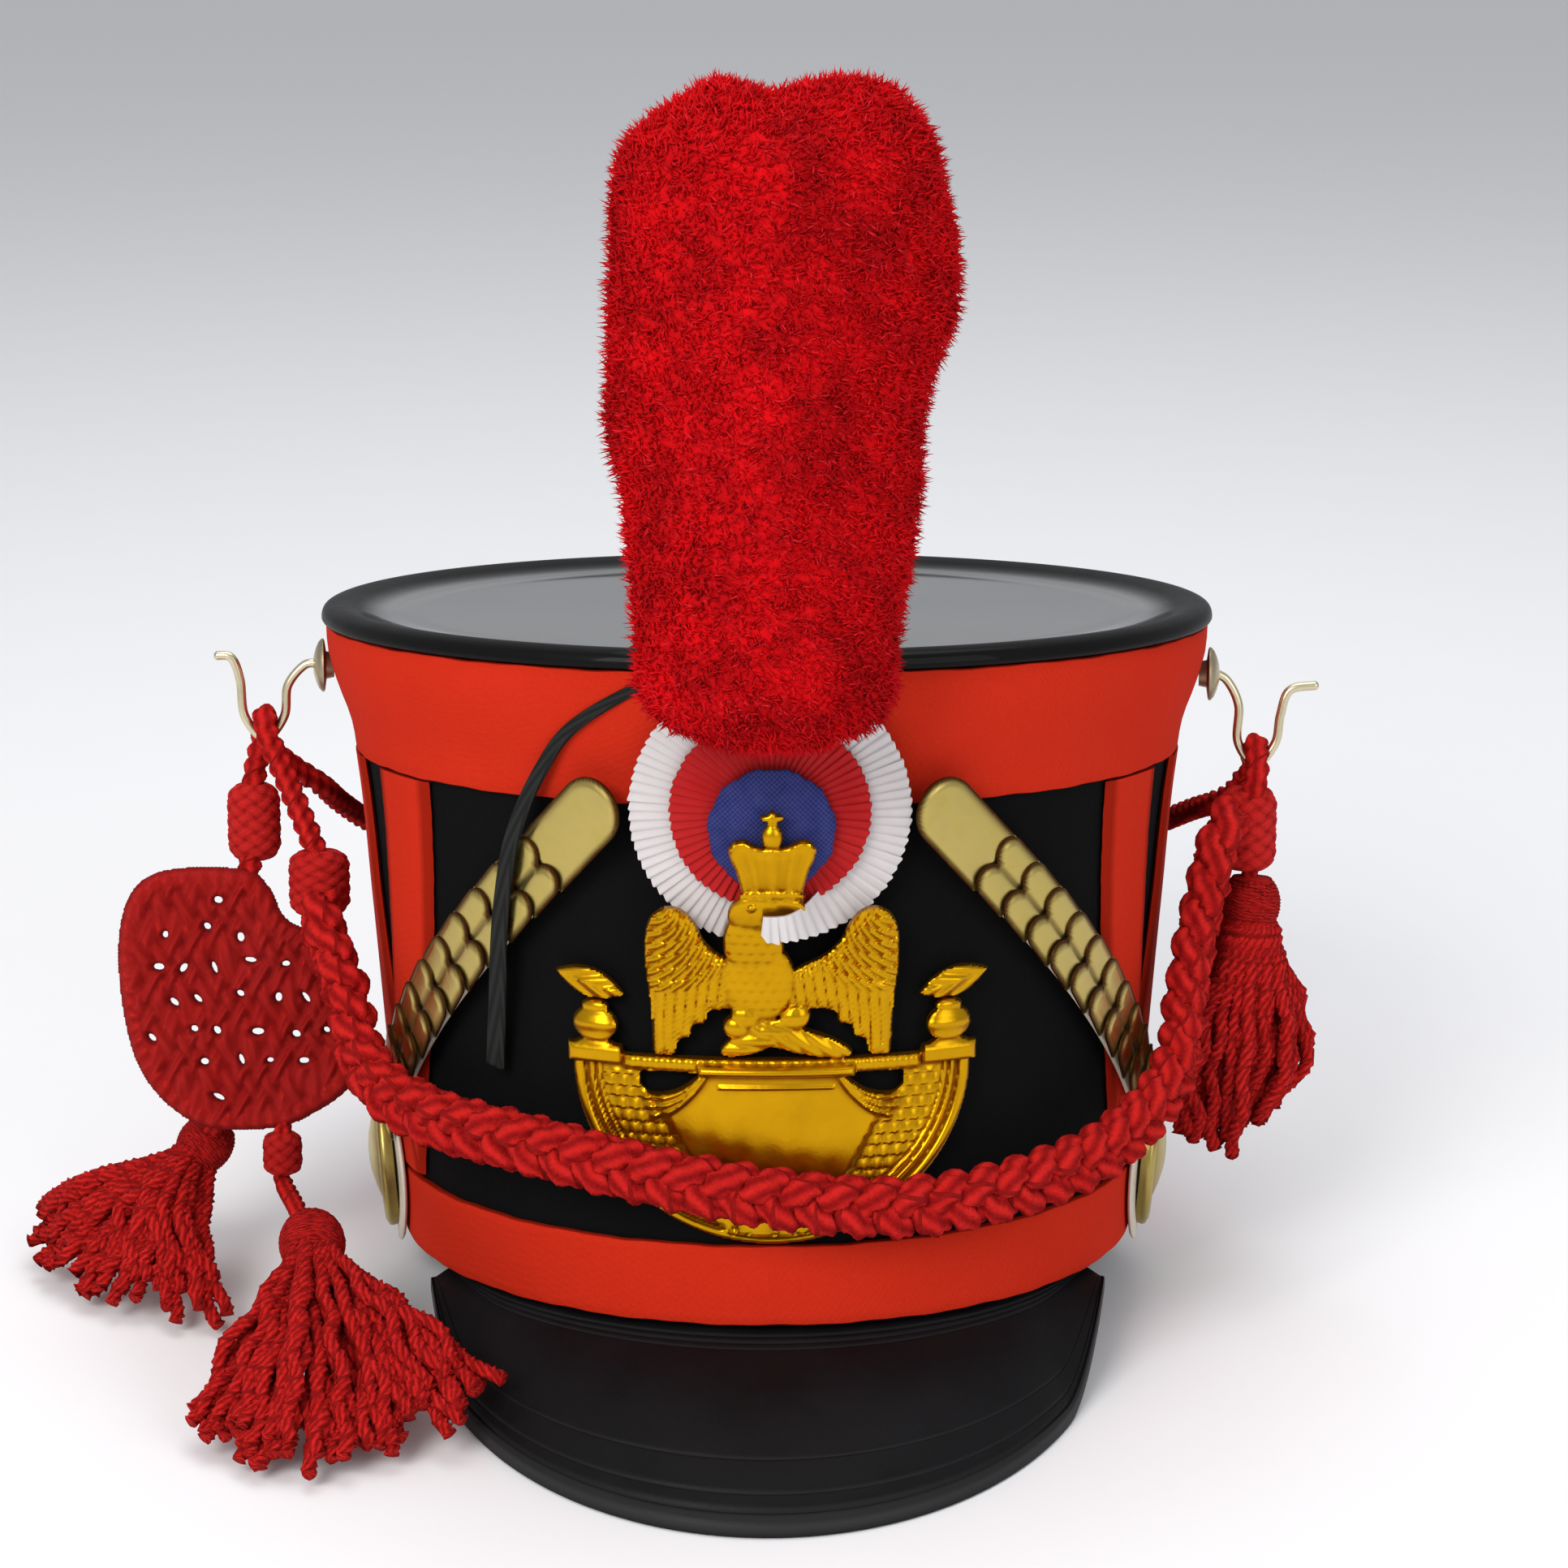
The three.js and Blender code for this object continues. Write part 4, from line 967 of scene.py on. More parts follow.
def ribbon_finish(name, colour):
    """Pleated ribbon: fine cross ribs, with painted shade down in the folds and on its back."""
    f = Finish(name, roughness=0.7, specular_ior_level=0.12)
    u, v = f.face_place()
    ribs = f.sine(v * 260)
    cloud = f.noise(120, 3, 0.6)
    body = f.mix(cloud, darker(colour, 0.86), lighter(colour, 0.02))
    # The tone is painted shade in the folds and on the ribbon's back.
    fold = f.clamp(f.value("tone"))
    f.dress(f.mix(fold, body, darker(colour, 0.58)), 0.62 + 0.2 * cloud, ribs * 0.25 + f.noise(900, 2) * 0.5, 0.0002, 0.5)
    return f


def blue_finish(name):
    """Navy cloth with a plain weave that shows."""
    look = bpy.context.scene.shako_cloth
    f = Finish(name, roughness=0.85, specular_ior_level=0.15)
    x, y, z = f.parts(f.where())
    threads = f.sine(x * 5200) * f.sine(z * 5200)
    cloud = f.noise(240, 3, 0.6)
    share = threads * 0.3 + cloud * 0.7
    colour = f.mix(share, darker(look.blue, 0.5), lighter(look.blue, 0.04))
    f.dress(colour, 0.78 + 0.18 * cloud, threads * 0.4 + cloud * 0.6, 0.0003, 0.6)
    return f


# Plies round a strand, and how fast they wind along it, in radians to a metre.
PLIES = 5
PLY_WIND = 2600


def yarn_finish(name):
    """Twisted wool yarn: plies that wind round the strand, with painted shade between them, under loose fibres."""
    look = bpy.context.scene.shako_yarn
    f = Finish(name, roughness=0.92, specular_ior_level=0.12)
    winding = f.value("turn") * (2 * math.pi * PLIES) + f.value("along") * PLY_WIND
    plies = 0.5 + 0.5 * f.sine(winding)
    fibre = f.noise(900, 4, 0.75)
    cloud = f.noise(70, 3, 0.55)
    lit = f.mix(cloud, darker(look.colour, 0.72), lighter(look.colour, 0.012))
    # Painted shade down between the plies.
    deep = f.clamp(0.35 - plies * 0.9 + fibre * 1.1)
    colour = f.mix(deep, lit, look.shade)
    f.dress(colour, 0.84 + 0.14 * fibre, plies * 0.6 + fibre * 1.3, 0.0009, 0.8)
    return f


def wound_finish(name):
    """Wool yarn where it is wound or knotted, with its plies along the face coordinates and painted shade where the
    weave dips.
    """
    look = bpy.context.scene.shako_yarn
    f = Finish(name, roughness=0.92, specular_ior_level=0.12)
    u, v = f.face_place()
    fibre = f.noise(900, 4, 0.75)
    cloud = f.noise(80, 3, 0.55)
    plies = 0.5 + 0.5 * f.sine(u * 160 + v * 320)
    lit = f.mix(cloud, darker(look.colour, 0.86), lighter(look.colour, 0.02))
    # Painted shade where the tone marks the weave's hollows, and between the plies.
    deep = f.clamp(f.value("tone") + 0.9 * fibre - 0.25 * plies - 0.38)
    colour = f.mix(deep, lit, look.shade)
    f.dress(colour, 0.84 + 0.14 * fibre, plies * 0.5 + fibre * 1.3, 0.0008, 0.8)
    return f


def plume_finish(name):
    """Clipped wool: every tuft its own tint at random, with soft blotches of painted shade for its clumps."""
    look = bpy.context.scene.shako_plume
    f = Finish(name, roughness=0.95, specular_ior_level=0.08)
    shade = f.value("shade")
    clump = f.noise(75, 3, 0.6)
    fine = f.noise(700, 2, 0.6)
    # Painted shade in soft blotches, for the shade between the wool's clumps.
    base = f.mix(f.step(clump, 0.3, 0.7), darker(look.colour, 0.62), look.colour)
    base = f.mix(f.step(shade, 0.72, 1.0) * 0.5, base, look.tip)
    colour = f.mix(f.step(fine, 0.55, 0.8) * 0.4, base, darker(look.colour, 0.5))
    f.dress(colour, 0.86 + 0.12 * fine, fine, 0.0005, 0.5)
    return f


def plate_finish(name):
    """Cast yellow brass: polished on the high parts, brown painted shade in the hollows, with fine handling marks."""
    look = bpy.context.scene.shako_metal
    f = Finish(name, metallic=1.0)
    wear = f.noise(160, 4, 0.6)
    pits = f.noise(900, 2, 0.5)
    # Painted shade in the hollows.
    hollow = f.clamp(f.value("tone") * 1.15 + 0.35 * (wear - 0.5))
    bright = f.mix(f.noise(45, 2), darker(look.plate, 0.84), look.plate)
    colour = f.mix(hollow, bright, look.plate_shade)
    f.dress(colour, 0.2 + 0.22 * wear + 0.25 * hollow, wear * 0.5 + pits * 0.5, 0.00012, 0.6)
    return f


def scale_finish(name, pale=0.0):
    """Pale stamped brass, with brown painted shade along the edges, in the grooves and under the flanges."""
    look = bpy.context.scene.shako_metal
    f = Finish(name, metallic=1.0)
    wear = f.noise(140, 4, 0.6)
    # The tone marks painted shade.
    edge = f.clamp(f.value("tone") + 0.4 * (wear - 0.5))
    bright = f.mix(wear, lighter(darker(look.scale, 0.84), pale), lighter(look.scale, 0.06 + pale))
    colour = f.mix(edge, bright, look.scale_edge)
    f.dress(colour, 0.22 + 0.16 * wear + 0.3 * edge, wear * 0.6 + f.noise(700, 2) * 0.4, 0.0001, 0.5)
    return f


def strap_finish(name):
    """Off-white buff leather with a worn grain."""
    look = bpy.context.scene.shako_leather
    f = Finish(name, roughness=0.75)
    grain = f.cells(1100)
    wear = f.noise(90, 4, 0.6)
    colour = f.mix(wear, darker(look.strap, 0.7), lighter(look.strap, 0.1))
    f.dress(colour, 0.62 + 0.25 * wear, grain * 0.5 + wear * 0.5, 0.0002, 0.5)
    return f


def lace_finish(name):
    """A flat braided lace, with a herringbone of fine threads."""
    look = bpy.context.scene.shako_leather
    f = Finish(name, roughness=0.8, specular_ior_level=0.1)
    u, v = f.face_place()
    side = f.math("PINGPONG", u * 4, 1.0)
    threads = 0.5 + 0.5 * f.sine(v * 420 + side * 9)
    fibre = f.noise(1300, 2)
    share = threads * 0.7 + fibre * 0.3
    colour = f.mix(share, darker(look.lace, 0.45), lighter(look.lace, 0.006))
    f.dress(colour, 0.7 + 0.2 * fibre, threads, 0.0003, 0.6)
    return f


def tape_section(across, thick):
    """A flat strip's section: across, up, and 1 round its two edges, which are soft."""
    half = thick / 2
    turns = np.linspace(0, math.pi, 7)[1:-1]
    top = [(a, half, 0.0) for a in across]
    right = [(across[-1] + half * 0.6 * math.sin(t), half * math.cos(t), 1.0) for t in turns]
    under = [(a, -half, 0.0) for a in across[::-1]]
    left = [(across[0] - half * 0.6 * math.sin(t), -half * math.cos(t), 1.0) for t in turns]
    return np.array(top + right + under + left)


def tape(path, outward, strip, wide):
    """Rings of a strip laid along a path with its face outward, as wide as given at each point."""
    along, side, out = directions(path, outward)
    return path[:, None] + side[:, None] * strip[:, :1] * wide[:, None, None] + out[:, None] * strip[:, 1:2]


def turned(profile, at, first, second, axis, count):
    """Rings of a turned piece about an axis, from rows that start with a radius and a rise."""
    turn = full_turn(count)[:, None]
    flat = np.asarray(first) * np.cos(turn) + np.asarray(second) * np.sin(turn)
    rows = np.asarray(profile, float)[:, :, None, None]
    return np.asarray(at) + rows[:, 0] * flat + rows[:, 1] * np.asarray(axis)


def lofted(rings, **how):
    """One solid over rings of points in mm on the upright hat."""
    shape = Shape()
    shape.loft(stand(rings), **how)
    return shape


def aim(thing, target):
    """Turns a lamp to look at a point."""
    thing.rotation_mode = "QUATERNION"
    way = Vector(target) - thing.location
    thing.rotation_quaternion = way.to_track_quat("-Z", "Y")


class SHAKO_OT_stage(bpy.types.Operator):
    """Lays a pale floor, hangs soft lights and sets the camera as the photograph was taken"""

    bl_idname = "shako.stage"
    bl_label = "Stage"

    def execute(self, context):
        look = context.scene.shako_stage
        scene = context.scene
        half = 12.0
        mesh = bpy.data.meshes.new("floor")
        corners = [(-half, -half, 0), (half, -half, 0), (half, half, 0), (-half, half, 0)]
        mesh.from_pydata(corners, [], [(0, 1, 2, 3)])
        paper = Finish("pale paper", roughness=0.85, specular_ior_level=0.2)
        grain = paper.noise(40, 3)
        paper.feed("Base Color", paper.mix(grain, darker(look.floor, 0.985), look.floor))
        mesh.materials.append(paper.material)
        floor = bpy.data.objects.new("floor", mesh)
        scene.collection.objects.link(floor)

        world = bpy.data.worlds.new("soft room")
        world.use_nodes = True
        background = world.node_tree.nodes["Background"]
        background.inputs["Color"].default_value = (0.95, 0.97, 1.0, 1)
        background.inputs["Strength"].default_value = look.world
        scene.world = world

        lamps = [
            ("key light", (-0.8, -1.35, 1.15), 0.9, look.key, (1.0, 0.98, 0.95)),
            ("fill light", (1.2, -1.35, 0.9), 1.2, look.fill, (0.96, 0.98, 1.0)),
            ("top light", (0.1, 0.35, 1.7), 1.3, look.top, (1.0, 1.0, 1.0)),
        ]
        for name, at, size, power, colour in lamps:
            data = bpy.data.lights.new(name, "AREA")
            data.shape = "SQUARE"
            data.size = size
            data.energy = power
            data.color = colour
            lamp = bpy.data.objects.new(name, data)
            scene.collection.objects.link(lamp)
            lamp.location = at
            aim(lamp, (0, 0, 0.14))

        data = bpy.data.cameras.new("camera")
        data.lens = look.lens
        data.sensor_width = 36.0
        data.clip_end = 60.0
        camera = bpy.data.objects.new("camera", data)
        scene.collection.objects.link(camera)
        level = Matrix.Rotation(CAMERA_YAW, 3, "Z") @ Matrix.Rotation(math.pi / 2 - CAMERA_PITCH, 3, "X")
        lean = Matrix.Rotation(-TILT, 3, "X")
        camera.matrix_world = Matrix.Translation(stand(CAMERA_AT)) @ (lean @ level).to_4x4()
        scene.camera = camera
        scene.view_settings.view_transform = "Standard"
        return {"FINISHED"}


BRAID_PERIOD = 27.0
BRAID_SWING = 4.1
BRAID_DEPTH = 2.1
LACE_THICK = 1.2


def twisted(name, kind, paths, radius=None):
    """A mesh of one of the twisted yarns, along paths of points in metres."""
    usual, lobes, depth, twist, step, sides = YARNS[kind]
    return grown(
        name, lines(paths), shared("twisted yarn", yarn_tree), Radius=radius or usual * MM, Lobes=lobes,
        Depth=depth, Twist=twist, Step=step, Sides=sides, Material=shared("red yarn", yarn_finish).material,
    )


def plaited(path):
    """The middle lines of three strands plaited about a path."""
    run = np.concatenate([[0], np.cumsum(np.linalg.norm(np.diff(path, axis=0), axis=1))])
    along, side, out = directions(path, path * (1, 1, 0))
    made = []
    for k in range(3):
        turn = (2 * math.pi * run / BRAID_PERIOD + 2 * math.pi * k / 3)[:, None]
        made.append(path + side * BRAID_SWING * np.sin(turn) + out * BRAID_DEPTH * np.sin(2 * turn))
    return made


class SHAKO_OT_cords(bpy.types.Operator):
    """Plaits the front braid, twists the rear cord and lays the lace beside the cockade"""

    bl_idname = "shako.cords"
    bl_label = "Cords"

    def execute(self, context):
        yarn = shared("red yarn", yarn_finish)
        path = spline(BRAID_ROUTE, 620)
        mesh = twisted("plaited_braid", "braid", [stand(strand) for strand in plaited(path)])
        braid = show("plaited_braid", mesh, yarn, "red_yarn", "front_braid")
        way = stand(path)

        way = stand(spline(REAR_ROUTE, 520))
        cord = show("back_cord", twisted("back_cord", "rear cord", [way]), yarn, "red_yarn", "rear_cord")

        turn, height, out = np.array(LACE_ROUTE).T
        path = spline(on_hat(np.radians(turn), height, out), 150)
        strip = tape_section(np.linspace(-1, 1, 9), 1.0) * (1, LACE_THICK, 1)
        rings = tape(path, path * (1, 1, 0), strip, np.linspace(1.0, 2.3, len(path)))
        shape = lofted(rings, size=(1.0, 0.13))
        lace = show("cockade_lace", shape, shared("lace", lace_finish), "black_leather", "tie_lace")
        way = stand(path)
        return {"FINISHED"}


def band_rings(low, high):
    """A cloth band round the wall, with soft edges and a seam at the back."""
    angle = np.linspace(-math.pi, math.pi, 280, endpoint=False)[:, None]
    across, up, edge = tape_section(np.linspace(low + 0.4, high - 0.4, 10), CLOTH).T
    wave = 0.16 * np.sin(angle * 23 + 1) + 0.1 * np.sin(angle * 57)
    seam = hump(np.abs(angle), math.pi, 0.008)
    ends = np.abs(across - (low + high) / 2) / ((high - low) / 2)
    z = np.clip(across + wave * ends**6, low, high)
    rise = 0.5 + up / CLOTH
    out = (SEAT_GAP + CLOTH + TUCK) * rise - TUCK
    out = out - 0.25 * CLOTH * seam * (rise > 0.5)
    # The second value is painted shade along the soft edges and down the seam.
    return on_hat(angle, z, out), np.maximum(0.85 * edge, 0.8 * seam)


class SHAKO_OT_body(bpy.types.Operator):
    """Makes the felt wall, the crown, the two bands and the side chevrons"""

    bl_idname = "shako.body"
    bl_label = "Wall, crown and bands"

    def execute(self, context):
        angle = np.linspace(-math.pi, math.pi, 144, endpoint=False)
        z = np.linspace(0.6, 162.6, 32)
        height = np.concatenate([[0.0], z, [163.0], [163.0], z[::-1], [0.0]])
        inner = -FELT * np.ones_like(z)
        out = np.concatenate([[-0.5], 0 * z, [-0.4], [-1.6], inner, [-1.5]])
        shape = lofted(on_hat(angle[:, None], height, out), closed=True, size=(6, 12))
        show("felt_wall", shape, shared("black felt", felt_finish), "felt", "felt_body", sharp=60)

        under = [(r, CROWN_UNDER) for r in (0.5, 20, 60, 100)]
        inward = (90, 75, 60, 45, 30, 15, 0.5)
        top = [(r, CROWN_TOP + 0.35 * math.cos(r / 95 * math.pi / 2)) for r in inward]
        profile = np.array(under + [tuple(p) for p in spline(CROWN_RIM, 48)] + top)
        rings = turned(profile, (0, 0, 0), (0, -1, 0), (1, 0, 0), (0, 0, 1), 192)
        # The tone marks the rolled rim, which the crown leather makes duller and paints darker as shade.
        shape = lofted(rings, size=(8, 2), tone=ease(99, 108, profile[:, :1]))
        crown = shared("crown leather", crown_finish)
        show("crown_leather", shape, crown, "black_leather", "crown_top", sharp=70)

        cloth = shared("band cloth", band_finish)
        for name, node, edges in (
            ("top_band_cloth", "upper_band", UPPER_BAND),
            ("foot_band_cloth", "lower_band", LOWER_BAND),
        ):
            rings, tone = band_rings(*edges)
            show(name, lofted(rings, closed=True, tone=tone), cloth, "red_cloth", node)

        across, up, edge = tape_section(np.linspace(-0.48, 0.48, 9), 1.0).T
        for side, sign in SIDES:
            shape = Shape()
            for layer, leg in enumerate(CHEVRON_LEGS):
                z = np.linspace(leg[0][0], leg[-1][0], 60)[:, None]
                wave = 0.12 * np.sin(z * 1.1 + layer) + 0.1 * np.sin(z * 0.43)
                turn = np.radians(smooth(leg, z[:, 0])) + across * (CHEVRON_WIDTH + wave) / STRAP_UNROLLED
                out = (SEAT_GAP + 0.28 * layer + CLOTH + TUCK) * (0.5 + up) - TUCK
                # Painted shade along the tape's soft edges.
                shape.loft(stand(on_hat(sign * turn, z, out)), tone=0.85 * edge)
            show(f"chevron_cloth_{side}", shape, cloth, "red_cloth", f"chevron_{side}", sharp=60)
        return {"FINISHED"}


# Fine lines pressed into the peak, by their share of the way out, with half width and depth in mm.
PEAK_LINES = [
    (0.055, 0.008, 0.5), (0.095, 0.008, 0.5), (0.135, 0.008, 0.4), (0.7, 0.007, 0.4), (0.85, 0.008, 0.5),
    (0.925, 0.012, 0.7),
]
# The peak's free edge: share of the way out, depth under the top, and how light it is, as a painted highlight.
PEAK_EDGE = [(0.994, 0.1, 0.9), (1.0, 0.9, 0.7), (1.0, 1.9, 0.3), (0.994, 2.6, 0.0)]


def peak_point(across, outward, under):
    """A point on the peak, from -1 to 1 across and 0 to 1 outward, at a depth under its top."""
    across, outward, under = alike(across, outward, under)
    root = on_hat(across * PEAK_ROOT_TURN, 0 * across, -1.6)
    root[..., 2] = -SEAT_GAP
    turn = across * PEAK_EDGE_TURN
    edge_y = PEAK_CENTRE_Y - PEAK_HALF_DEPTH * np.cos(turn)
    ground = (edge_y - WALL[0][2]) * math.tan(TILT)
    edge_z = ground + PEAK_THICK
    edge_z = edge_z + (-SEAT_GAP - 2 - edge_z) * ease(0.72, 1, np.abs(across))
    edge = np.stack([PEAK_HALF_WIDTH * np.sin(turn), edge_y, edge_z], -1)
    swell = 16 * outward * (1 - outward) * (1 - across**2)
    point = root + (edge - root) * outward[..., None]
    point[..., 2] += 0.75 * swell - under
    point[..., 1] -= 0.5 * swell
    return point


class SHAKO_OT_peak(bpy.types.Operator):
    """Makes the leather peak, with its pressed lines and its raised edge"""

    bl_idname = "shako.peak"
    bl_label = "Peak"

    def execute(self, context):
        across = np.linspace(-1, 1, 132)
        out = spans((0, 0.18, 34), (0.19, 0.66, 16), (0.67, 0.985, 60))
        groove = sum(depth * hump(out, at, half) for at, half, depth in PEAK_LINES)
        rim = 0.55 * ease(0.935, 0.955, out)
        # Painted highlight along the pressed lines and near the free edge.
        light = 0.3 * ease(0.1, 0.3, groove) + 0.45 * ease(0.94, 0.97, out)
        under = [(o, PEAK_THICK, 0.0) for o in np.linspace(0.985, 0, 24)]
        section = np.vstack([np.stack([out, groove - rim, light], -1), PEAK_EDGE, under])
        shape = lofted(peak_point(across[:, None], section[:, 0], section[:, 1]), tone=section[:, 2])
        finish = shared("peak leather", peak_finish)
        show("peak_leather", shape, finish, "black_leather", "peak", sharp=65)
        return {"FINISHED"}


# Points across a ribbon, from its inner to its outer edge, and points along each of its pleats.
RIBBON_ROWS = np.array([0, 0.06, 0.2, 0.4, 0.6, 0.8, 0.92, 0.98])
PLEAT_POINTS = 7


def ribbon_ring(inner, outer, layer, thick, pleats, start, end, lift=0.0):
    """A ribbon gathered round the cockade in knife pleats, from one turn to another, in degrees.
    lift raises and slims its first end over what lies under it."""
    start = math.radians(start)
    end = math.radians(end)
    steps = np.arange(int(pleats * PLEAT_POINTS * (end - start) / (2 * math.pi)))
    turn = np.linspace(start, end, len(steps))
    phase = steps / PLEAT_POINTS % 1.0
    fold = np.where(phase < 0.8, phase / 0.8, (1 - phase) / 0.2)
    rough = np.sin(np.floor(steps / PLEAT_POINTS) * 12.9898) * 43758.5453 % 1.0
    reach = outer + 0.6 * (fold - 0.5) + 0.35 * (rough - 0.5)
    end_rise = lift * ease(start + 0.75, start + 0.2, turn)
    if lift:
        slim = ease(start + 0.8, start + 0.2, turn)
        inner = inner + 1.6 * slim
        reach = reach - 3.4 * slim - 1.3 * ease(start + 0.07, start, turn)
    rows = []
    for share in RIBBON_ROWS:
        skew = 0.012 * (rough - 0.5) * share
        rise = layer + thick + (0.3 + 0.45 * share) * fold - 0.2 * share
        # Painted shade down in each pleat's fold, deeper towards the outer edge.
        dark = np.clip((0.4 - fold) * 1.1, 0, 1) * (0.4 + 0.6 * share)
        rows.append((share, turn + skew, rise, dark))
    # The ribbon's back, turned to the wall, gets painted shade.
    rows += [(share, turn, layer, 0.6 + 0 * turn) for share in RIBBON_ROWS[::-1]]
    rings = []
    for share, at, rise, dark in rows:
        radius = inner + (reach - inner) * share
        x = COCKADE_X + radius * np.cos(at)
        z = COCKADE_Z + radius * np.sin(at)
        rings.append(on_cockade(x, z, rise + end_rise))
    tone = np.stack([row[3] for row in rows], 1)
    return lofted(np.stack(rings, 1), size=(1.0, 40.0), tone=tone)


# The cockade's domed centre: share of its radius, and rise.
DOME = [
    (0.9, 0.0), (0.985, 0.15), (1.0, 0.5), (0.985, 0.85), (0.94, 1.2), (0.85, 1.65), (0.7, 2.1), (0.5, 2.5),
    (0.3, 2.65), (0.1, 2.7), (0.01, 2.7),
]
DOME_RADIUS = 15.0
DOME_LAYER = 5.2


class SHAKO_OT_cockade(bpy.types.Operator):
    """Gathers the cockade's two pleated ribbons round its domed centre"""

    bl_idname = "shako.cockade"
    bl_label = "Cockade"

    def execute(self, context):
        look = context.scene.shako_cloth
        white = shared("white ribbon", lambda name: ribbon_finish(name, look.white))
        red = shared("red ribbon", lambda name: ribbon_finish(name, look.red))
        ribbon = ribbon_ring(22.0, 33.6, 0.0, 1.3, look.pleats, -94, 250, 12.5)
        show("white_rosette", ribbon, white, "white_cloth", "cockade_white", sharp=50)
        ribbon = ribbon_ring(8.0, 24.0, 2.2, 1.2, 64, -90, 270)
        show("red_rosette", ribbon, red, "red_cloth", "cockade_red", sharp=50)

        turn = full_turn(96)
        radius = DOME_RADIUS + 0.25 * np.sin(turn * 11) + 0.15 * np.sin(turn * 29)
        rings = []
        for share, up in DOME:
            x = COCKADE_X + 0.4 + radius * share * np.cos(turn)
            z = COCKADE_Z - 3.7 + radius * share * np.sin(turn)
            wrinkle = 0.12 * share**2 * np.sin(turn * 17) * (share < 0.98)
            rings.append(on_cockade(x, z, DOME_LAYER + up + wrinkle))
        blue = shared("blue cloth", blue_finish)
        show("blue_centre", lofted(np.array(rings), size=(4, 1)), blue, "blue_cloth", "cockade_blue")
        return {"FINISHED"}


def outline_field(outline, x, z):
    """How far inside a smooth closed outline each point is, in mm, and below 0 outside it."""
    line = spline(outline, 220, closed=True)
    flat = np.stack([x.ravel(), z.ravel()], -1)
    field = np.empty(len(flat))
    step = np.roll(line, -1, axis=0) - line
    rise = np.where(np.abs(step[:, 1]) < 1e-9, 1e-9, step[:, 1])
    for part in np.array_split(np.arange(len(flat)), 1 + len(flat) // 20000):
        p = flat[part]
        near = np.sqrt(((p[:, None] - line[None]) ** 2).sum(-1)).min(1)
        over = (line[None, :, 1] > p[:, 1:2]) != ((line + step)[None, :, 1] > p[:, 1:2])
        cross = line[None, :, 0] + (p[:, 1:2] - line[None, :, 1]) / rise[None] * step[None, :, 0]
        inside = (over & (p[:, 0:1] < cross)).sum(1) % 2 == 1
        field[part] = np.where(inside, near, -near)
    return field.reshape(x.shape)


class Chased:
    """A sheet of metal seen from the front, with shapes raised on it one over another."""

    def __init__(self, first, last, step):
        self.x, self.z = grid(first, last, step)
        self.inside = np.full(self.x.shape, -1.0)
        self.height = np.zeros(self.x.shape)

    def oval(self, x, z, wide, tall, turn=0.0):
        """How far inside an oval each point is, 1 in the middle and 0 at its edge, with its own axes."""
        c = math.cos(turn)
        s = math.sin(turn)
        u = (self.x - x) * c + (self.z - z) * s
        v = (self.z - z) * c - (self.x - x) * s
        return 1 - (u / wide) ** 2 - (v / tall) ** 2, u, v

    def put(self, inside, height):
        """Raises a shape where it stands higher than what is there."""
        self.inside = np.maximum(self.inside, inside)
        self.height = np.where(inside > 0, np.maximum(self.height, height), self.height)

    def dome(self, x, z, wide, tall, low, high, turn=0.0, texture=0.0):
        """Raises a domed oval, from low at its edge to high in the middle."""
        q, u, v = self.oval(x, z, wide, tall, turn)
        self.put(q * min(wide, tall) / 2, low + (high - low) * rounded(q) + texture)

    def scaly(self, wide, tall, depth):
        """Rows of small rounded scales, as a height."""
        row = np.floor(self.z / tall)
        a = (self.x / wide + 0.5 * (row % 2)) % 1.0 - 0.5
        b = self.z / tall % 1.0
        return depth * np.clip(1 - 2.6 * a**2 - 0.8 * (b - 0.1) ** 2, 0, 1)

    def hollows(self, turns):
        """How far each point lies below what is round it, for the painted shade in the hollows."""
        soft = self.height.copy()
        for _ in range(turns):
            soft[1:-1, 1:-1] = (soft[:-2, 1:-1] + soft[2:, 1:-1] + soft[1:-1, :-2] + soft[1:-1, 2:]) / 4
        return soft - self.height


PLATE_X = 1.0
PLATE_GRID = 0.43
# Rounded parts of the eagle: place, half width, half height, height at the edge and in the middle, turn,
# and how much fine plumage shows on it.
EAGLE_PARTS = [
    (-7.6, 76.8, 3.2, 3.0, 2.6, 4.6, -0.3, 0), (-2.4, 88.6, 8.9, 10.6, 2.2, 5.0, 0, 1),
    (-3.4, 97.5, 7.2, 10.0, 2.4, 5.2, 0.1, 1), (6.4, 79.4, 3.9, 3.2, 2.6, 4.6, 0.4, 1),
    (-5.4, 79.6, 3.6, 3.4, 2.6, 4.6, -0.3, 1), (-1.9, 105.4, 7.6, 6.0, 2.8, 5.4, 0, 0.4),
    (3.8, 107.8, 5.2, 2.6, 3.4, 4.7, -0.06, 0), (7.4, 106.9, 1.6, 2.1, 2.8, 4.0, 0.25, 0),
    (-3.9, 108.0, 1.1, 0.9, 5.0, 5.9, 0, 0),
]
# The bolts in its claws: place, turn and half length.
EAGLE_BOLTS = [(5.2, 74.2, -0.27, 15.6), (-0.8, 74.8, 0.4, 11.4)]
# The crown's orb and cross: height, half width, half height, height at the edge and in the middle.
CROWN_ORB = [
    (125.6, 2.5, 3.2, 2.0, 3.8), (128.8, 1.3, 2.6, 1.8, 3.0), (130.2, 2.9, 0.95, 1.8, 3.0),
    (130.4, 0.95, 1.7, 1.8, 3.0),
]
# One wing's outline, by the distance out from the plate's middle line and the height.
WING = [
    (4, 90), (12.2, 94.8), (16.2, 98.6), (18.2, 103), (21, 106.2), (24.6, 107.2), (28.4, 104.8),
    (30.2, 99.5), (30.3, 92), (29.4, 84), (28.8, 76), (28.4, 70), (26.4, 69.2), (23.4, 69.8), (22.2, 73.2), (19.8, 74.2),
    (18.8, 77), (16, 77.8), (15, 80.6), (11.8, 81.2), (4, 82),
]


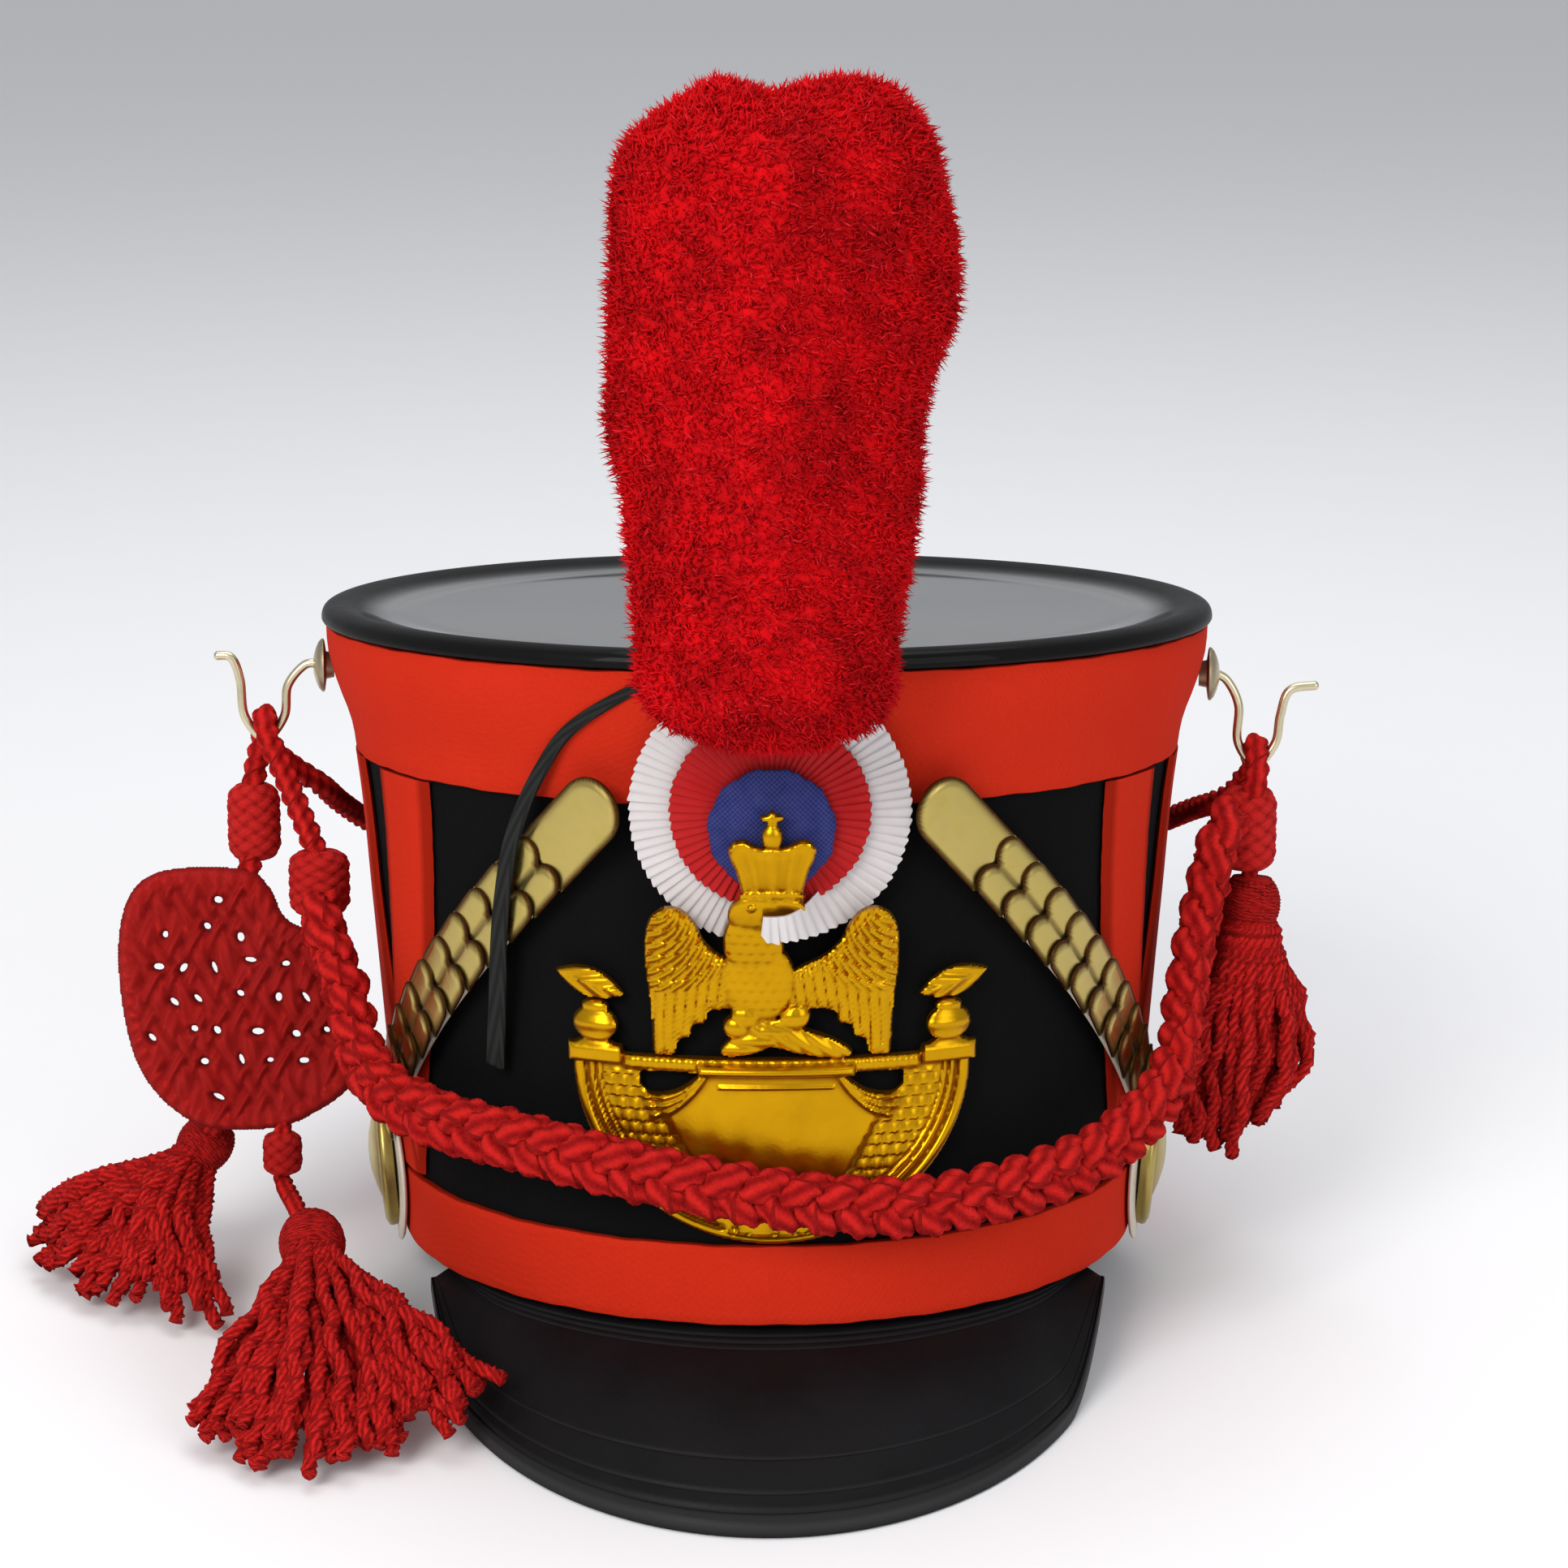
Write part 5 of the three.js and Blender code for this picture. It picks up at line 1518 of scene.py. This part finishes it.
def eagle_shield(metal):
    """The half-round shield under the eagle, with its rim, cornice, windows and smooth middle."""
    x = metal.x - PLATE_X
    z = metal.z
    ring = np.sqrt((x / 48) ** 2 + ((z - 66) / 43.5) ** 2)
    deep = (1 - ring) * 44
    field = np.minimum(deep, 66.2 - z)
    middle = ease(33, 30, np.abs(x) + 0.5 * (66 - z))
    row = np.floor(z / 2.9)
    scallop = (x / 3.3 + 0.5 * (row % 2) + 0.12 * np.sin(row * 5.3)) % 1.0 - 0.5
    engraved = 0.62 * np.clip(1 - 3.4 * scallop**2 - 0.9 * (z / 2.9 % 1.0) ** 2, 0, 1)
    height = 1.2 + engraved * (1 - middle) * ease(6.2, 7.2, deep) * ease(66, 64, z)
    height = height + (1.1 + 0.5 * arch(x / 34)) * middle * ease(1.4, 2.6, deep)
    for at, tall, thick in ((1.2, 1.5, 1.3), (4.0, 0.9, 0.6), (5.7, 0.7, 0.5)):
        height = height + tall * arch((deep - at) / thick) * (1 - middle * (at > 2))
    for side in (-1, 1):
        out = side * x
        top = 65.4 - 0.012 * (out - 24) ** 2
        low = 59.6 + 0.05 * np.clip(27.5 - out, 0, 30) ** 2 + 0.22 * np.clip(out - 28.6, 0, 5) ** 2
        window = np.minimum(np.minimum(top - z, (z - low) * 0.8), 31.6 - out)
        for k, fall in enumerate((1.0, 3.3, 5.6)):
            curve = 59.6 + 0.05 * np.clip(27.5 + 0.45 * fall - out, 0, 30) ** 2 - fall
            height = height + 1.25 * hump(z, curve, 0.75) * ease(32 - k, 30 - k, out) * ease(14, 18, out)
        field = np.minimum(field, -window)
    for at in (-8.0, 1.8):
        q, u, v = metal.oval(at, 26.2, 1.1, 1.1)
        height = height + rounded(q)
    metal.put(field, height)

    far = np.abs(x)
    ends = ease(35.6, 36.2, far)
    edge = np.minimum(np.minimum(z - 65.2 - 0.9 * ends, 69.0 + 1.9 * ends - z), 49.4 - far)
    bar = 2.0 + 1.1 * rounded(edge / 1.2) + 0.2 * np.sin(x * 2.2) * (far < 35)
    metal.put(edge, bar - 1.1 * hump(far, 35.9, 0.5) + 0.8 * ease(35.9, 37, far))
    for low, high, wide, tall in ((64.6, 67.4, 19.0, 5.2), (61.0, 62.8, 14.5, 3.6)):
        edge = np.minimum(np.minimum(z - low, high - z), wide - np.abs(x - 1))
        metal.put(edge, tall - 1.6 + 1.6 * rounded(edge / 1.1))


def eagle_wing(metal, side):
    """A wing of one outline, with small scallops at the shoulder and long feathers below."""
    out = side * (metal.x - PLATE_X)
    z = metal.z
    field = outline_field(WING, out, z)
    body = 1.5 + 1.5 * rounded(field / 3.2)
    lean = out + 0.16 * (z - 88) + 0.006 * (z - 88) ** 2
    share = lean / 2.5 % 1.0 - 0.5
    vanes = 0.7 * arch(share / 0.5) + 0.1 * np.sin((z + 3 * np.abs(share)) * 4.5)
    away = np.hypot(out - 26, (z - 108) * 0.9)
    row = np.floor(away / 3.0)
    turn = np.arctan2(z - 108, out - 26) * away
    across = (turn / 2.9 + 0.5 * (row % 2)) % 1.0 - 0.5
    small = 0.8 * np.clip(1 - 3.0 * across**2 - 0.9 * (away / 3.0 % 1.0 - 0.2) ** 2, 0, 1)
    near = ease(22, 19, away)
    metal.put(field, body + vanes * (1 - near) + small * near + 0.5 * near)


def eagle_bird(metal):
    """The eagle: two wings, a body with fine plumage, a head turned to one side, and bolts in its claws."""
    for side in (-1, 1):
        eagle_wing(metal, side)
    for x, z, turn, half in EAGLE_BOLTS:
        q, u, v = metal.oval(x, z, half, 3.2, turn)
        twist = 0.45 * np.abs(np.sin(u * 0.55 + v * 0.9))
        metal.put(q * 1.3, 2.4 + 1.5 * rounded(q) + twist)
    fine = metal.scaly(2.7, 2.4, 0.2)
    for *oval, plumage in EAGLE_PARTS:
        metal.dome(*oval, plumage * fine)


def eagle_crown(metal):
    """The crown over the eagle's head: a band, a flared cap with two arches, and an orb with a cross."""
    x = metal.x - PLATE_X
    z = metal.z
    half = np.interp(z, [109, 111, 114, 117, 120, 122.5, 125], [7.6, 7.2, 7.8, 8.6, 9.9, 10.4, 10.0])
    far = np.abs(x)
    top = np.interp(far, [0, 2.2, 3.6, 6.5, 8.8, 10.4, 12], [123.4, 123.2, 123.4, 125.0, 124.7, 122.6, 119])
    field = np.minimum(np.minimum(half - far, top - z), z - 109)
    height = 1.6 + 1.3 * rounded(field / 2.6)
    for at, wide in ((0.0, 0.1), (0.52, 0.07), (0.9, 0.06)):
        height = height + 0.55 * hump(far / half, at, wide) * ease(110, 113, z)
    metal.put(field * 0.8, height + 0.4 * hump(top - z, 1.0, 0.6))
    metal.dome(PLATE_X, 110.8, 7.8, 1.7, 2.8, 4.2, 0.0, 0.2 * np.sin(metal.x * 2.6))
    for part in CROWN_ORB:
        metal.dome(PLATE_X, *part)


def eagle_urns(metal):
    """A flaming urn at each end of the bar."""
    for side in (-1, 1):
        at = PLATE_X + side * 42.6
        metal.dome(at, 70.2, 5.4, 2.0, 2.0, 3.6)
        metal.dome(at, 75.8, 5.5, 4.4, 2.0, 4.6, 0.0, 0.25 * np.sin((metal.z - 75) * 1.5))
        metal.dome(at, 80.2, 3.3, 1.7, 2.0, 3.6)
        q, u, v = metal.oval(at + side * 1.2, 86.0, 8.6, 3.7, 0.28 * side)
        flame = 1 - (u / 8.8) ** 2 - np.abs(v) / 3.7
        tongues = 0.35 * np.sin(u * 0.9 * side + 2.2 * np.abs(v))
        metal.put(flame * 1.8, 1.6 + 1.8 * rounded(flame) + tongues)


class SHAKO_OT_plate(bpy.types.Operator):
    """Casts the eagle plate and bends it to the front of the hat"""

    bl_idname = "shako.plate"
    bl_label = "Eagle plate"

    def execute(self, context):
        metal = Chased((-52.0, 20.5), (54.5, 132.5), PLATE_GRID)
        eagle_shield(metal)
        eagle_bird(metal)
        eagle_crown(metal)
        eagle_urns(metal)
        # The hollows get painted shade.
        hollow = np.clip(metal.hollows(10) * 1.25, 0, 1)
        shape = Shape()
        bent = lambda x, z, h: stand(on_plate(x, z, h))
        shape.relief(metal.x, metal.z, metal.inside, bent, metal.height, 0.0, hollow)
        brass = shared("plate brass", plate_finish)
        show("cast_plate", shape, brass, "yellow_brass", "eagle_plate", sharp=50)
        return {"FINISHED"}


def strap_frame(sign, along, out):
    """A place over a chin strap, with the directions ahead, across and outward there."""
    at = on_strap(sign, along, 0.0, out)
    ahead = unit(on_strap(sign, along + 0.5, 0.0, out) - on_strap(sign, along - 0.5, 0.0, out))
    aside = unit(on_strap(sign, along, 0.5, out) - on_strap(sign, along, -0.5, out))
    outward = unit(np.cross(ahead, aside) * sign)
    return at, ahead, np.cross(outward, ahead), outward


def scale_plate(length, tip, place):
    """A stamped scale, its rounded end ahead: two lobes, or one on the tip. place lays it down."""
    half = SCALE_WIDTH / 2
    lobe = half if tip else half / 2
    x, y = grid((-1, -half - 1), (length + 1.5, half + 1.5), SCALE_GRID)
    centre = 0 * y if tip else np.where(y > 0, lobe, -lobe)
    ahead = np.maximum(x - (length - lobe), 0)
    away = np.hypot(ahead, y - centre)
    round_end = lobe - away
    field = np.minimum(np.where(ahead > 0, round_end, half - np.abs(y)), x + 0.02)
    cushion = arch((y - centre) / (lobe + 0.3))
    height = 0.55 + 0.75 * cushion * ease(0, 2.2, field)
    if not tip:
        height = height - 0.35 * hump(y, 0, 0.7)
    # Painted shade along the rounded end's edge and down the crease between the lobes.
    rim = ease(1.5, 0.5, np.minimum(field, np.where(ahead > 0, round_end, 9)))
    crease = 0.0 if tip else 0.7 * hump(y, 0, 0.6)
    tone = np.clip(np.maximum(rim * ease(0.2, 1.2, x), crease), 0, 1)
    shape = Shape()
    shape.relief(x, y, field, place, height, 0.0, tone)
    return shape


def pattern_object(name, shape, sharp=None):
    """An object that a tree takes copies of, until it is removed."""
    pattern = bpy.data.objects.new(name, shape.mesh(name, sharp))
    bpy.context.scene.collection.objects.link(pattern)
    return pattern


class SHAKO_OT_chin_straps(bpy.types.Operator):
    """Lays the chin straps with their bosses, their rows of scales and their tips"""

    bl_idname = "shako.chin_straps"
    bl_label = "Chin straps"

    def execute(self, context):
        brass = shared("scale brass", scale_finish)
        leather = shared("buff leather", strap_finish)
        seat = STRAP_LIFT + STRAP_THICK + SEAT_GAP
        length = strap_length()
        pitch = (length - TIP_LENGTH - SCALE_START + 2) / SCALE_COUNT
        rise = math.atan2(SCALE_LAP, pitch)
        copies = copies_tree()
        flat = lambda x, y, h: np.stack([x, y, h], -1) * MM
        pattern = pattern_object("scale_pattern", scale_plate(SCALE_LENGTH, False, flat), 45)
        turn = full_turn(72)
        along = np.linspace(19, length - 5, 70)[:, None]
        across, up, edge = tape_section(np.linspace(-6.7, 6.7, 9), STRAP_THICK - 0.1).T
        across = across * arch(np.clip(along - length + 12, 0, 7) / 7.05)
        for side, sign in SIDES:
            shape = lofted(
                np.array(
                    [
                        on_strap(sign, radius * np.cos(turn), radius * np.sin(turn), STRAP_LIFT + height)
                        for radius, height in STRAP_END
                    ]
                )
            )
            shape.loft(stand(on_strap(sign, along, across, STRAP_LIFT + STRAP_THICK / 2 + up)))
            show(f"strap_leather_{side}", shape, leather, "white_leather", f"chin_strap_{side}", sharp=50)

            rings = turned(BOSS, *strap_frame(sign, 0.0, seat), len(turn))
            shape = lofted(rings, tone=np.array(BOSS)[:, 2:])
            show(f"boss_{side}", shape, brass, "pale_brass", f"chin_boss_{side}", sharp=60)

            places = []
            for i in range(SCALE_COUNT + 1):
                at, ahead, aside, outward = strap_frame(sign, SCALE_START + i * pitch, seat)
                tipped = ahead * math.cos(rise) + outward * math.sin(rise)
                places.append((at, tipped, aside, outward * math.cos(rise) - ahead * math.sin(rise)))
            at, ahead, aside, outward = np.array(places[:-1]).swapaxes(0, 1)
            mesh = bpy.data.meshes.new("scale_places")
            mesh.from_pydata(stand(at).tolist(), [], [])
            origin = stand((0.0, 0.0, 0.0))
            for label, ways in (("ahead", ahead), ("outward", outward)):
                kept = mesh.attributes.new(label, "FLOAT_VECTOR", "POINT")
                kept.data.foreach_set("vector", unit(stand(ways) - origin).astype(np.float32).ravel())
            made = grown(f"scales_{side}", mesh, copies, Copy=pattern, Material=brass.material)
            nodes = [f"scale_{side}_{i + 1:02d}" for i in range(SCALE_COUNT)]
            show(f"scales_{side}", made, brass, "pale_brass", *nodes)

            tip = np.array(places[-1])
            laid = lambda x, y, h: stand(tip[0] + np.stack([x, y, h], -1) @ tip[1:])
            shape = scale_plate(TIP_LENGTH + TIP_REACH, True, laid)
            show(f"tip_{side}", shape, brass, "pale_brass", f"scale_tip_{side}", sharp=45)
        bpy.data.objects.remove(pattern)
        return {"FINISHED"}


def lumps(turn, z, count, seed):
    """Soft clumps over the plume, as a height from -1 to 1."""
    chance = np.random.default_rng(seed)
    total = np.zeros(np.broadcast(turn, z).shape)
    for _ in range(count):
        middle = chance.uniform(0, 2 * math.pi)
        level = chance.uniform(150, 300)
        size = chance.uniform(7, 13)
        strength = chance.uniform(-0.8, 1.0)
        apart = (np.angle(np.exp(1j * (turn - middle))) * 33) ** 2 + (z - level) ** 2
        total = total + strength * np.exp(-apart / size**2)
    return np.clip(total, -1, 1.2)


PLUME_PILE = 2.6
TUFT_ROOT = 0.4
TUFT_BEND = (1.3, 0.5)
# The stem's end, where it bends forward into the plume.
PLUME_FOOT = [(0, -122, 175.5), (0, -131, 176)]


class SHAKO_OT_plume(bpy.types.Operator):
    """Grows the wool plume on its core, and makes the stem that carries it"""

    bl_idname = "shako.plume"
    bl_label = "Plume"

    def execute(self, context):
        look = context.scene.shako_plume
        wool = shared("plume wool", plume_finish)
        z = spans((149.5, 160, 14), (162, 288, 56), (290, 298, 12))
        turn = full_turn(96)
        size = smooth(PLUME, z)
        across = np.sin(turn)[None]
        depth = np.cos(turn)[None]
        width = np.where(across > 0, size[:, 1:2], size[:, 0:1])
        reach = np.where(depth > 0, size[:, 2:3], size[:, 3:4])
        inset = PLUME_PILE * np.clip(np.minimum(width, reach) / 8, 0, 1)
        bumps = 1.6 * lumps(turn[None], z[:, None], 150, 5) * np.clip(np.minimum(width, reach) / 12, 0, 1)
        x = (width - inset + bumps) * across
        y = PLUME_Y - (reach - inset + bumps) * depth
        top = ease(270, 298, z)[:, None]
        lobes = 3.0 * hump(x, -11, 6) + 3.2 * hump(x, 19, 10) - 1.2 * hump(x, -0.5, 5) - PLUME_PILE
        height = z[:, None] + lobes * top
        core = lofted(np.stack([x, y, height], -1), size=(4, 4)).mesh("wool_plume")

        corners = [(TUFT_ROOT * math.cos(t), TUFT_ROOT * math.sin(t), 0.0) for t in full_turn(3)]
        points = np.array(corners + [(*TUFT_BEND, look.tuft / MM)]) * MM
        faces = np.array([(0, 1, 3), (1, 2, 3), (2, 0, 3), (0, 2, 1)])
        tuft = Shape()
        tuft.add(points, [faces], [np.zeros((4, 3, 2))], 0.0)
        pattern = pattern_object("tuft_pattern", tuft)
        mesh = grown(
            "wool_plume", core, pile_tree(), Tuft=pattern, Density=look.density, Least=0.55, Most=1.2,
            Lean=1.6, Seed=11, Material=wool.material,
        )
        show("wool_plume", mesh, wool, "plume_wool", "plume")
        bpy.data.objects.remove(pattern)

        height, out = np.array(PLUME_STEM, float).T
        front = -(smooth(WALL, np.minimum(height, 163))[:, 1] + out)
        path = np.vstack([np.stack([0 * height, front, height], -1), PLUME_FOOT])
        path = spline(path, 60)
        outward = np.tile((0.0, -1.0, 0.6), (len(path), 1))
        rings = tape(path, outward, tape_section(np.linspace(-5, 5, 5), 1.6), np.ones(len(path)))
        leather = shared("crown leather", crown_finish)
        show("plume_stem", lofted(rings), leather, "black_leather", sharp=50)
        return {"FINISHED"}


def tube(shape, path, radius):
    """A round wire along a path of points in mm on the upright hat, with rounded ends."""
    along, side, out = directions(path)
    turn = full_turn(14)
    size = np.full(len(path), float(radius))
    size[0] = size[-1] = radius * 0.55
    ring = side[:, None] * np.cos(turn)[None, :, None] + out[:, None] * np.sin(turn)[None, :, None]
    shape.loft(stand(path[:, None] + ring * size[:, None, None]))


class SHAKO_OT_hooks(bpy.types.Operator):
    """Bends the two wire hooks that carry the cords"""

    bl_idname = "shako.hooks"
    bl_label = "Hooks"

    def execute(self, context):
        brass = shared("wire brass", lambda name: scale_finish(name, 0.3))
        for side, sign in SIDES:
            foot, wire = HOOKS[side]
            facing = unit((sign, -0.12, 0))
            rings = turned(HOOK_FLANGE, foot, unit(np.cross((0, 0, 1), facing)), (0, 0, 1), facing, 40)
            shape = lofted(rings, tone=np.array(HOOK_FLANGE)[:, 2:])
            tube(shape, spline(wire, 110), HOOK_WIRE)
            show(f"wire_hook_{side}", shape, brass, "pale_brass", f"hook_{side}", sharp=60)
        return {"FINISHED"}


def plait(a, b):
    """A basket weave of rounded strands that run both ways, as a height from 0 to about 1."""
    k = np.floor(a)
    m = np.floor(b)
    first = arch((a - k - 0.5) / 0.5) * (0.72 + 0.28 * np.cos(math.pi * (b - 0.5 + k)))
    second = arch((b - m - 0.5) / 0.5) * (0.72 - 0.28 * np.cos(math.pi * (a - 0.5 + m)))
    fine = np.where(first > second, np.cos(6 * math.pi * a), np.cos(6 * math.pi * b))
    return np.maximum(first, second) + 0.05 * fine


def barrel(at, radius, height, weaves, turns):
    """A slide of yarn woven round a cord."""
    turn = full_turn(96)
    t = np.linspace(-1, 1, 50)[:, None]
    size = radius * (0.42 + 0.58 * arch(np.clip(np.abs(t) - 0.55, 0, 1) / 0.47, 0.04))
    round_it = turn / (2 * math.pi) * weaves
    weave = plait(round_it + t * turns, round_it - t * turns)
    r = size * (0.86 + 0.15 * weave)
    x = at[0] + r * np.cos(turn)
    y = at[1] + r * np.sin(turn)
    z = at[2] + t * height / 2 + 0 * x
    # The tone is painted shade where the weave dips.
    return lofted(np.stack([x, y, z], -1), tone=np.clip(1.25 - 1.3 * weave, 0, 1))


class SHAKO_OT_hangings(bpy.types.Operator):
    """Makes the loops on the hooks, the woven slides and the netted pad"""

    bl_idname = "shako.hangings"
    bl_label = "Loops, slides and pad"

    def execute(self, context):
        yarn = shared("red yarn", yarn_finish)
        wound = shared("wound yarn", wound_finish)
        for node, route in LOOPS.items():
            name = node + "_cord"
            show(name, twisted(name, "loop", [stand(spline(route, 90))]), yarn, "red_yarn", node)
        for node, slide in SLIDES.items():
            show(node + "_yarn", barrel(*slide), wound, "red_yarn", node)

        x, z = grid((-34, -37), (34, 37), PAD_GRID)
        field = outline_field(PAD_OUTLINE, x, z)
        a = 2 * x / PAD_PITCH + z / PAD_PITCH + 0.22 * np.sin(0.31 * z + 0.17 * x)
        b = 2 * x / PAD_PITCH - z / PAD_PITCH + 0.22 * np.sin(0.27 * x - 0.23 * z)
        weave = plait(a, b)
        cut = field.copy()
        chance = np.random.default_rng(21)
        for row in range(-3, 4):
            for column in range(-3, 4):
                gx = (column + 0.5 * (row % 2)) * PAD_GAP + chance.uniform(-1.9, 1.9)
                gz = row * PAD_GAP + chance.uniform(-1.9, 1.9)
                long = chance.uniform(0.9, 1.7)
                thin = chance.uniform(0.65, 1.0)
                turn = chance.uniform(0, math.pi)
                if math.hypot(gx / 25.5, gz / 28) > 1 or (gx > 3 and gz > 12):
                    continue
                u = (x - gx) * math.cos(turn) + (z - gz) * math.sin(turn)
                v = (z - gz) * math.cos(turn) - (x - gx) * math.sin(turn)
                cut = np.minimum(cut, (np.hypot(u / long, v / thin) - 1) * 1.4)
        rope = arch((field - 2.8) / 2.8)
        wrap = 0.82 + 0.18 * np.sin(np.arctan2(z, x) * 52)
        lip = np.sqrt(np.clip(cut / 1.6, 0.02, 1))
        front = np.maximum((0.5 + 3.6 * weave**1.6) * rounded(field / 5), 3.6 * rope * wrap) * lip
        # Painted shade: the lower the net lies, the darker its tone.
        tone = np.clip(0.86 - 0.36 * front, 0, 1)
        c = math.cos(PAD_LEAN)
        s = math.sin(PAD_LEAN)

        def place(px, pz, up):
            y = PAD_AT[1] - up * c - pz * s
            return stand(np.stack([PAD_AT[0] + px, y, PAD_AT[2] + pz * c - up * s], -1))

        shape = Shape()
        shape.relief(x, z, cut, place, front, -front, tone)
        show("netted_pad", shape, wound, "red_yarn", "raquette_pad")
        return {"FINISHED"}


def tassel_strands(head, radius, ends, upper, lies, count, thick, seed):
    """The middle lines of a tassel's wavy strands, in mm, from its head out to its fan of ends."""
    chance = np.random.default_rng(seed)
    head = np.array(head, float)
    fan = spline(ends, 200)
    middle = fan.mean(0)
    down = unit(middle - head)
    aside = unit(np.cross(down, (0, 0, 1) if lies else (0, 1, 0)))
    over = np.cross(aside, down)
    reach = np.abs((fan - middle) @ aside).max()
    made = []
    for i in range(count):
        share = (i * 0.61803) % 1.0
        layer = chance.uniform(0, 1) ** (1.4 if lies else 0.8)
        end = fan[int(share * 199)] + chance.uniform(-1.5, 1.5, 3)
        if upper:
            lifted = np.mean(upper, axis=0) + (end - middle) * 0.8
            end = end + (lifted - end) * layer * 0.55
        elif not lies:
            end = end + (middle - end) * layer * 0.8
        end = head + (end - head) * chance.uniform(0.9, 1.0)
        if lies:
            spot = np.clip(float((end - middle).dot(aside)) / reach, -1, 1)
            off = aside * spot + over * math.sqrt(1 - 0.8 * spot**2) * (2 * layer - 1)
        else:
            turn = math.atan2(float((end - middle).dot(over)), float((end - middle).dot(aside)))
            off = aside * math.cos(turn) + over * math.sin(turn)
        start = head + down * radius * 0.35 + off * radius * 0.5
        shoulder = start + down * radius * 0.9 + off * radius * 0.45
        if lies:
            bow = (shoulder + end) / 2 + down * 3 + over * 5.0 * (0.4 + layer)
        else:
            bow = (shoulder + end) / 2 + down * 5 + off * 9 * (1.0 - 0.9 * layer)
        path = spline([start, shoulder, bow, end], 60)
        t = np.linspace(0, 1, 60)[:, None]
        phase = chance.uniform(0, 6.28, 2)
        pace = chance.uniform(15, 26)
        size = chance.uniform(0.4, 1.5) * ease(0.1, 0.6, t)
        sway = aside * np.sin(pace * t + phase[0]) + over * 0.7 * np.sin(pace * 0.8 * t + phase[1])
        path = path + size * sway
        if lies:
            path[:, 2] = np.maximum(path[:, 2], thick * 1.25 + 0.2)
        made.append(path)
    return made, down, aside, over


def join(name, meshes):
    """One mesh of several."""
    points = []
    faces = []
    values = {"along": [], "turn": []}
    start = 0
    for mesh in meshes:
        count = len(mesh.vertices)
        flat = np.zeros(count * 3, np.float32)
        mesh.vertices.foreach_get("co", flat)
        points.append(flat.reshape(-1, 3))
        for polygon in mesh.polygons:
            faces.append([start + v for v in polygon.vertices])
        for label, kept in values.items():
            column = np.zeros(count, np.float32)
            if label in mesh.attributes:
                mesh.attributes[label].data.foreach_get("value", column)
            kept.append(column)
        start += count
    joined = bpy.data.meshes.new(name)
    joined.from_pydata(np.vstack(points).tolist(), [], faces)
    for label, kept in values.items():
        joined.attributes.new(label, "FLOAT", "POINT").data.foreach_set("value", np.concatenate(kept))
    joined.shade_smooth()
    return joined


class SHAKO_OT_tassels(bpy.types.Operator):
    """Makes the tassels: a wound head, its cord and many wavy strands"""

    bl_idname = "shako.tassels"
    bl_label = "Tassels"

    def execute(self, context):
        look = context.scene.shako_yarn
        yarn = shared("red yarn", yarn_finish)
        for seed, (node, (head, radius, stalk, lies, ends, upper)) in enumerate(TASSELS.items(), 3):
            name = node + "_yarn"
            thick = look.strand / MM
            count = look.strands if lies else look.strands * 4 // 3
            strands, down, aside, over = tassel_strands(head, radius, ends, upper, lies, count, thick, seed)
            head = np.array(head, float)
            cord = spline([*stalk, (np.array(stalk[-1]) + head) / 2 - down, head], 40)
            t = np.linspace(0, 1, 60 * TASSEL_WINDS)[:, None]
            rise = -0.85 + 1.6 * t
            size = radius * arch(rise * 0.92, 0.05) * 0.93
            turn = t * 2 * math.pi * TASSEL_WINDS
            wind = head + down * rise * radius + size * (aside * np.cos(turn) + over * np.sin(turn))
            move = (lambda p: np.asarray(p) * MM) if lies else stand
            made = [
                twisted(name, "strand", [move(p) for p in strands], look.strand),
                twisted(name, "stalk", [move(cord)]),
                twisted(name, "winding", [move(wind)]),
            ]
            up = np.linspace(-0.9, 0.95, 20)
            profile = np.stack([radius * arch(up * 0.95, 0.02) * 0.93, up * radius], -1)
            core = Shape()
            core.loft(move(turned(profile, head, aside, over, down, 32)))
            made.append(core.mesh(node + "_core"))
            show(name, join(name, made), yarn, "red_yarn", node)
        return {"FINISHED"}


GROUPS = (
    ("shako_cloth", ShakoCloth), ("shako_yarn", ShakoYarn), ("shako_plume", ShakoPlume),
    ("shako_metal", ShakoMetal), ("shako_leather", ShakoLeather), ("shako_stage", ShakoStage),
)
OPERATORS = (
    SHAKO_OT_stage, SHAKO_OT_cords, SHAKO_OT_body, SHAKO_OT_peak, SHAKO_OT_cockade, SHAKO_OT_plate,
    SHAKO_OT_chin_straps, SHAKO_OT_plume, SHAKO_OT_hooks, SHAKO_OT_hangings, SHAKO_OT_tassels,
)


class SHAKO_PT_sidebar(bpy.types.Panel):
    """Lists the pieces and their settings"""

    bl_idname = "SHAKO_PT_sidebar"
    bl_label = "Shako hat"
    bl_space_type = "VIEW_3D"
    bl_region_type = "UI"
    bl_category = "Shako"

    def draw(self, context):
        for operator in OPERATORS:
            self.layout.operator(operator.bl_idname)
        for name, group in GROUPS:
            box = self.layout.box()
            for label in group.__annotations__:
                box.prop(getattr(context.scene, name), label)


def register():
    for name, group in GROUPS:
        bpy.utils.register_class(group)
        setattr(bpy.types.Scene, name, bpy.props.PointerProperty(type=group))
    for operator in OPERATORS:
        bpy.utils.register_class(operator)
    bpy.utils.register_class(SHAKO_PT_sidebar)


def unregister():
    bpy.utils.unregister_class(SHAKO_PT_sidebar)
    for operator in reversed(OPERATORS):
        bpy.utils.unregister_class(operator)
    for name, group in reversed(GROUPS):
        delattr(bpy.types.Scene, name)
        bpy.utils.unregister_class(group)


def main():
    """Builds every piece in order."""
    register()
    for operator in OPERATORS:
        group, name = operator.bl_idname.split(".")
        result = getattr(getattr(bpy.ops, group), name)()
        if result != {"FINISHED"}:
            raise RuntimeError(f"{operator.bl_idname} did not finish")


if __name__ == "__main__":
    main()
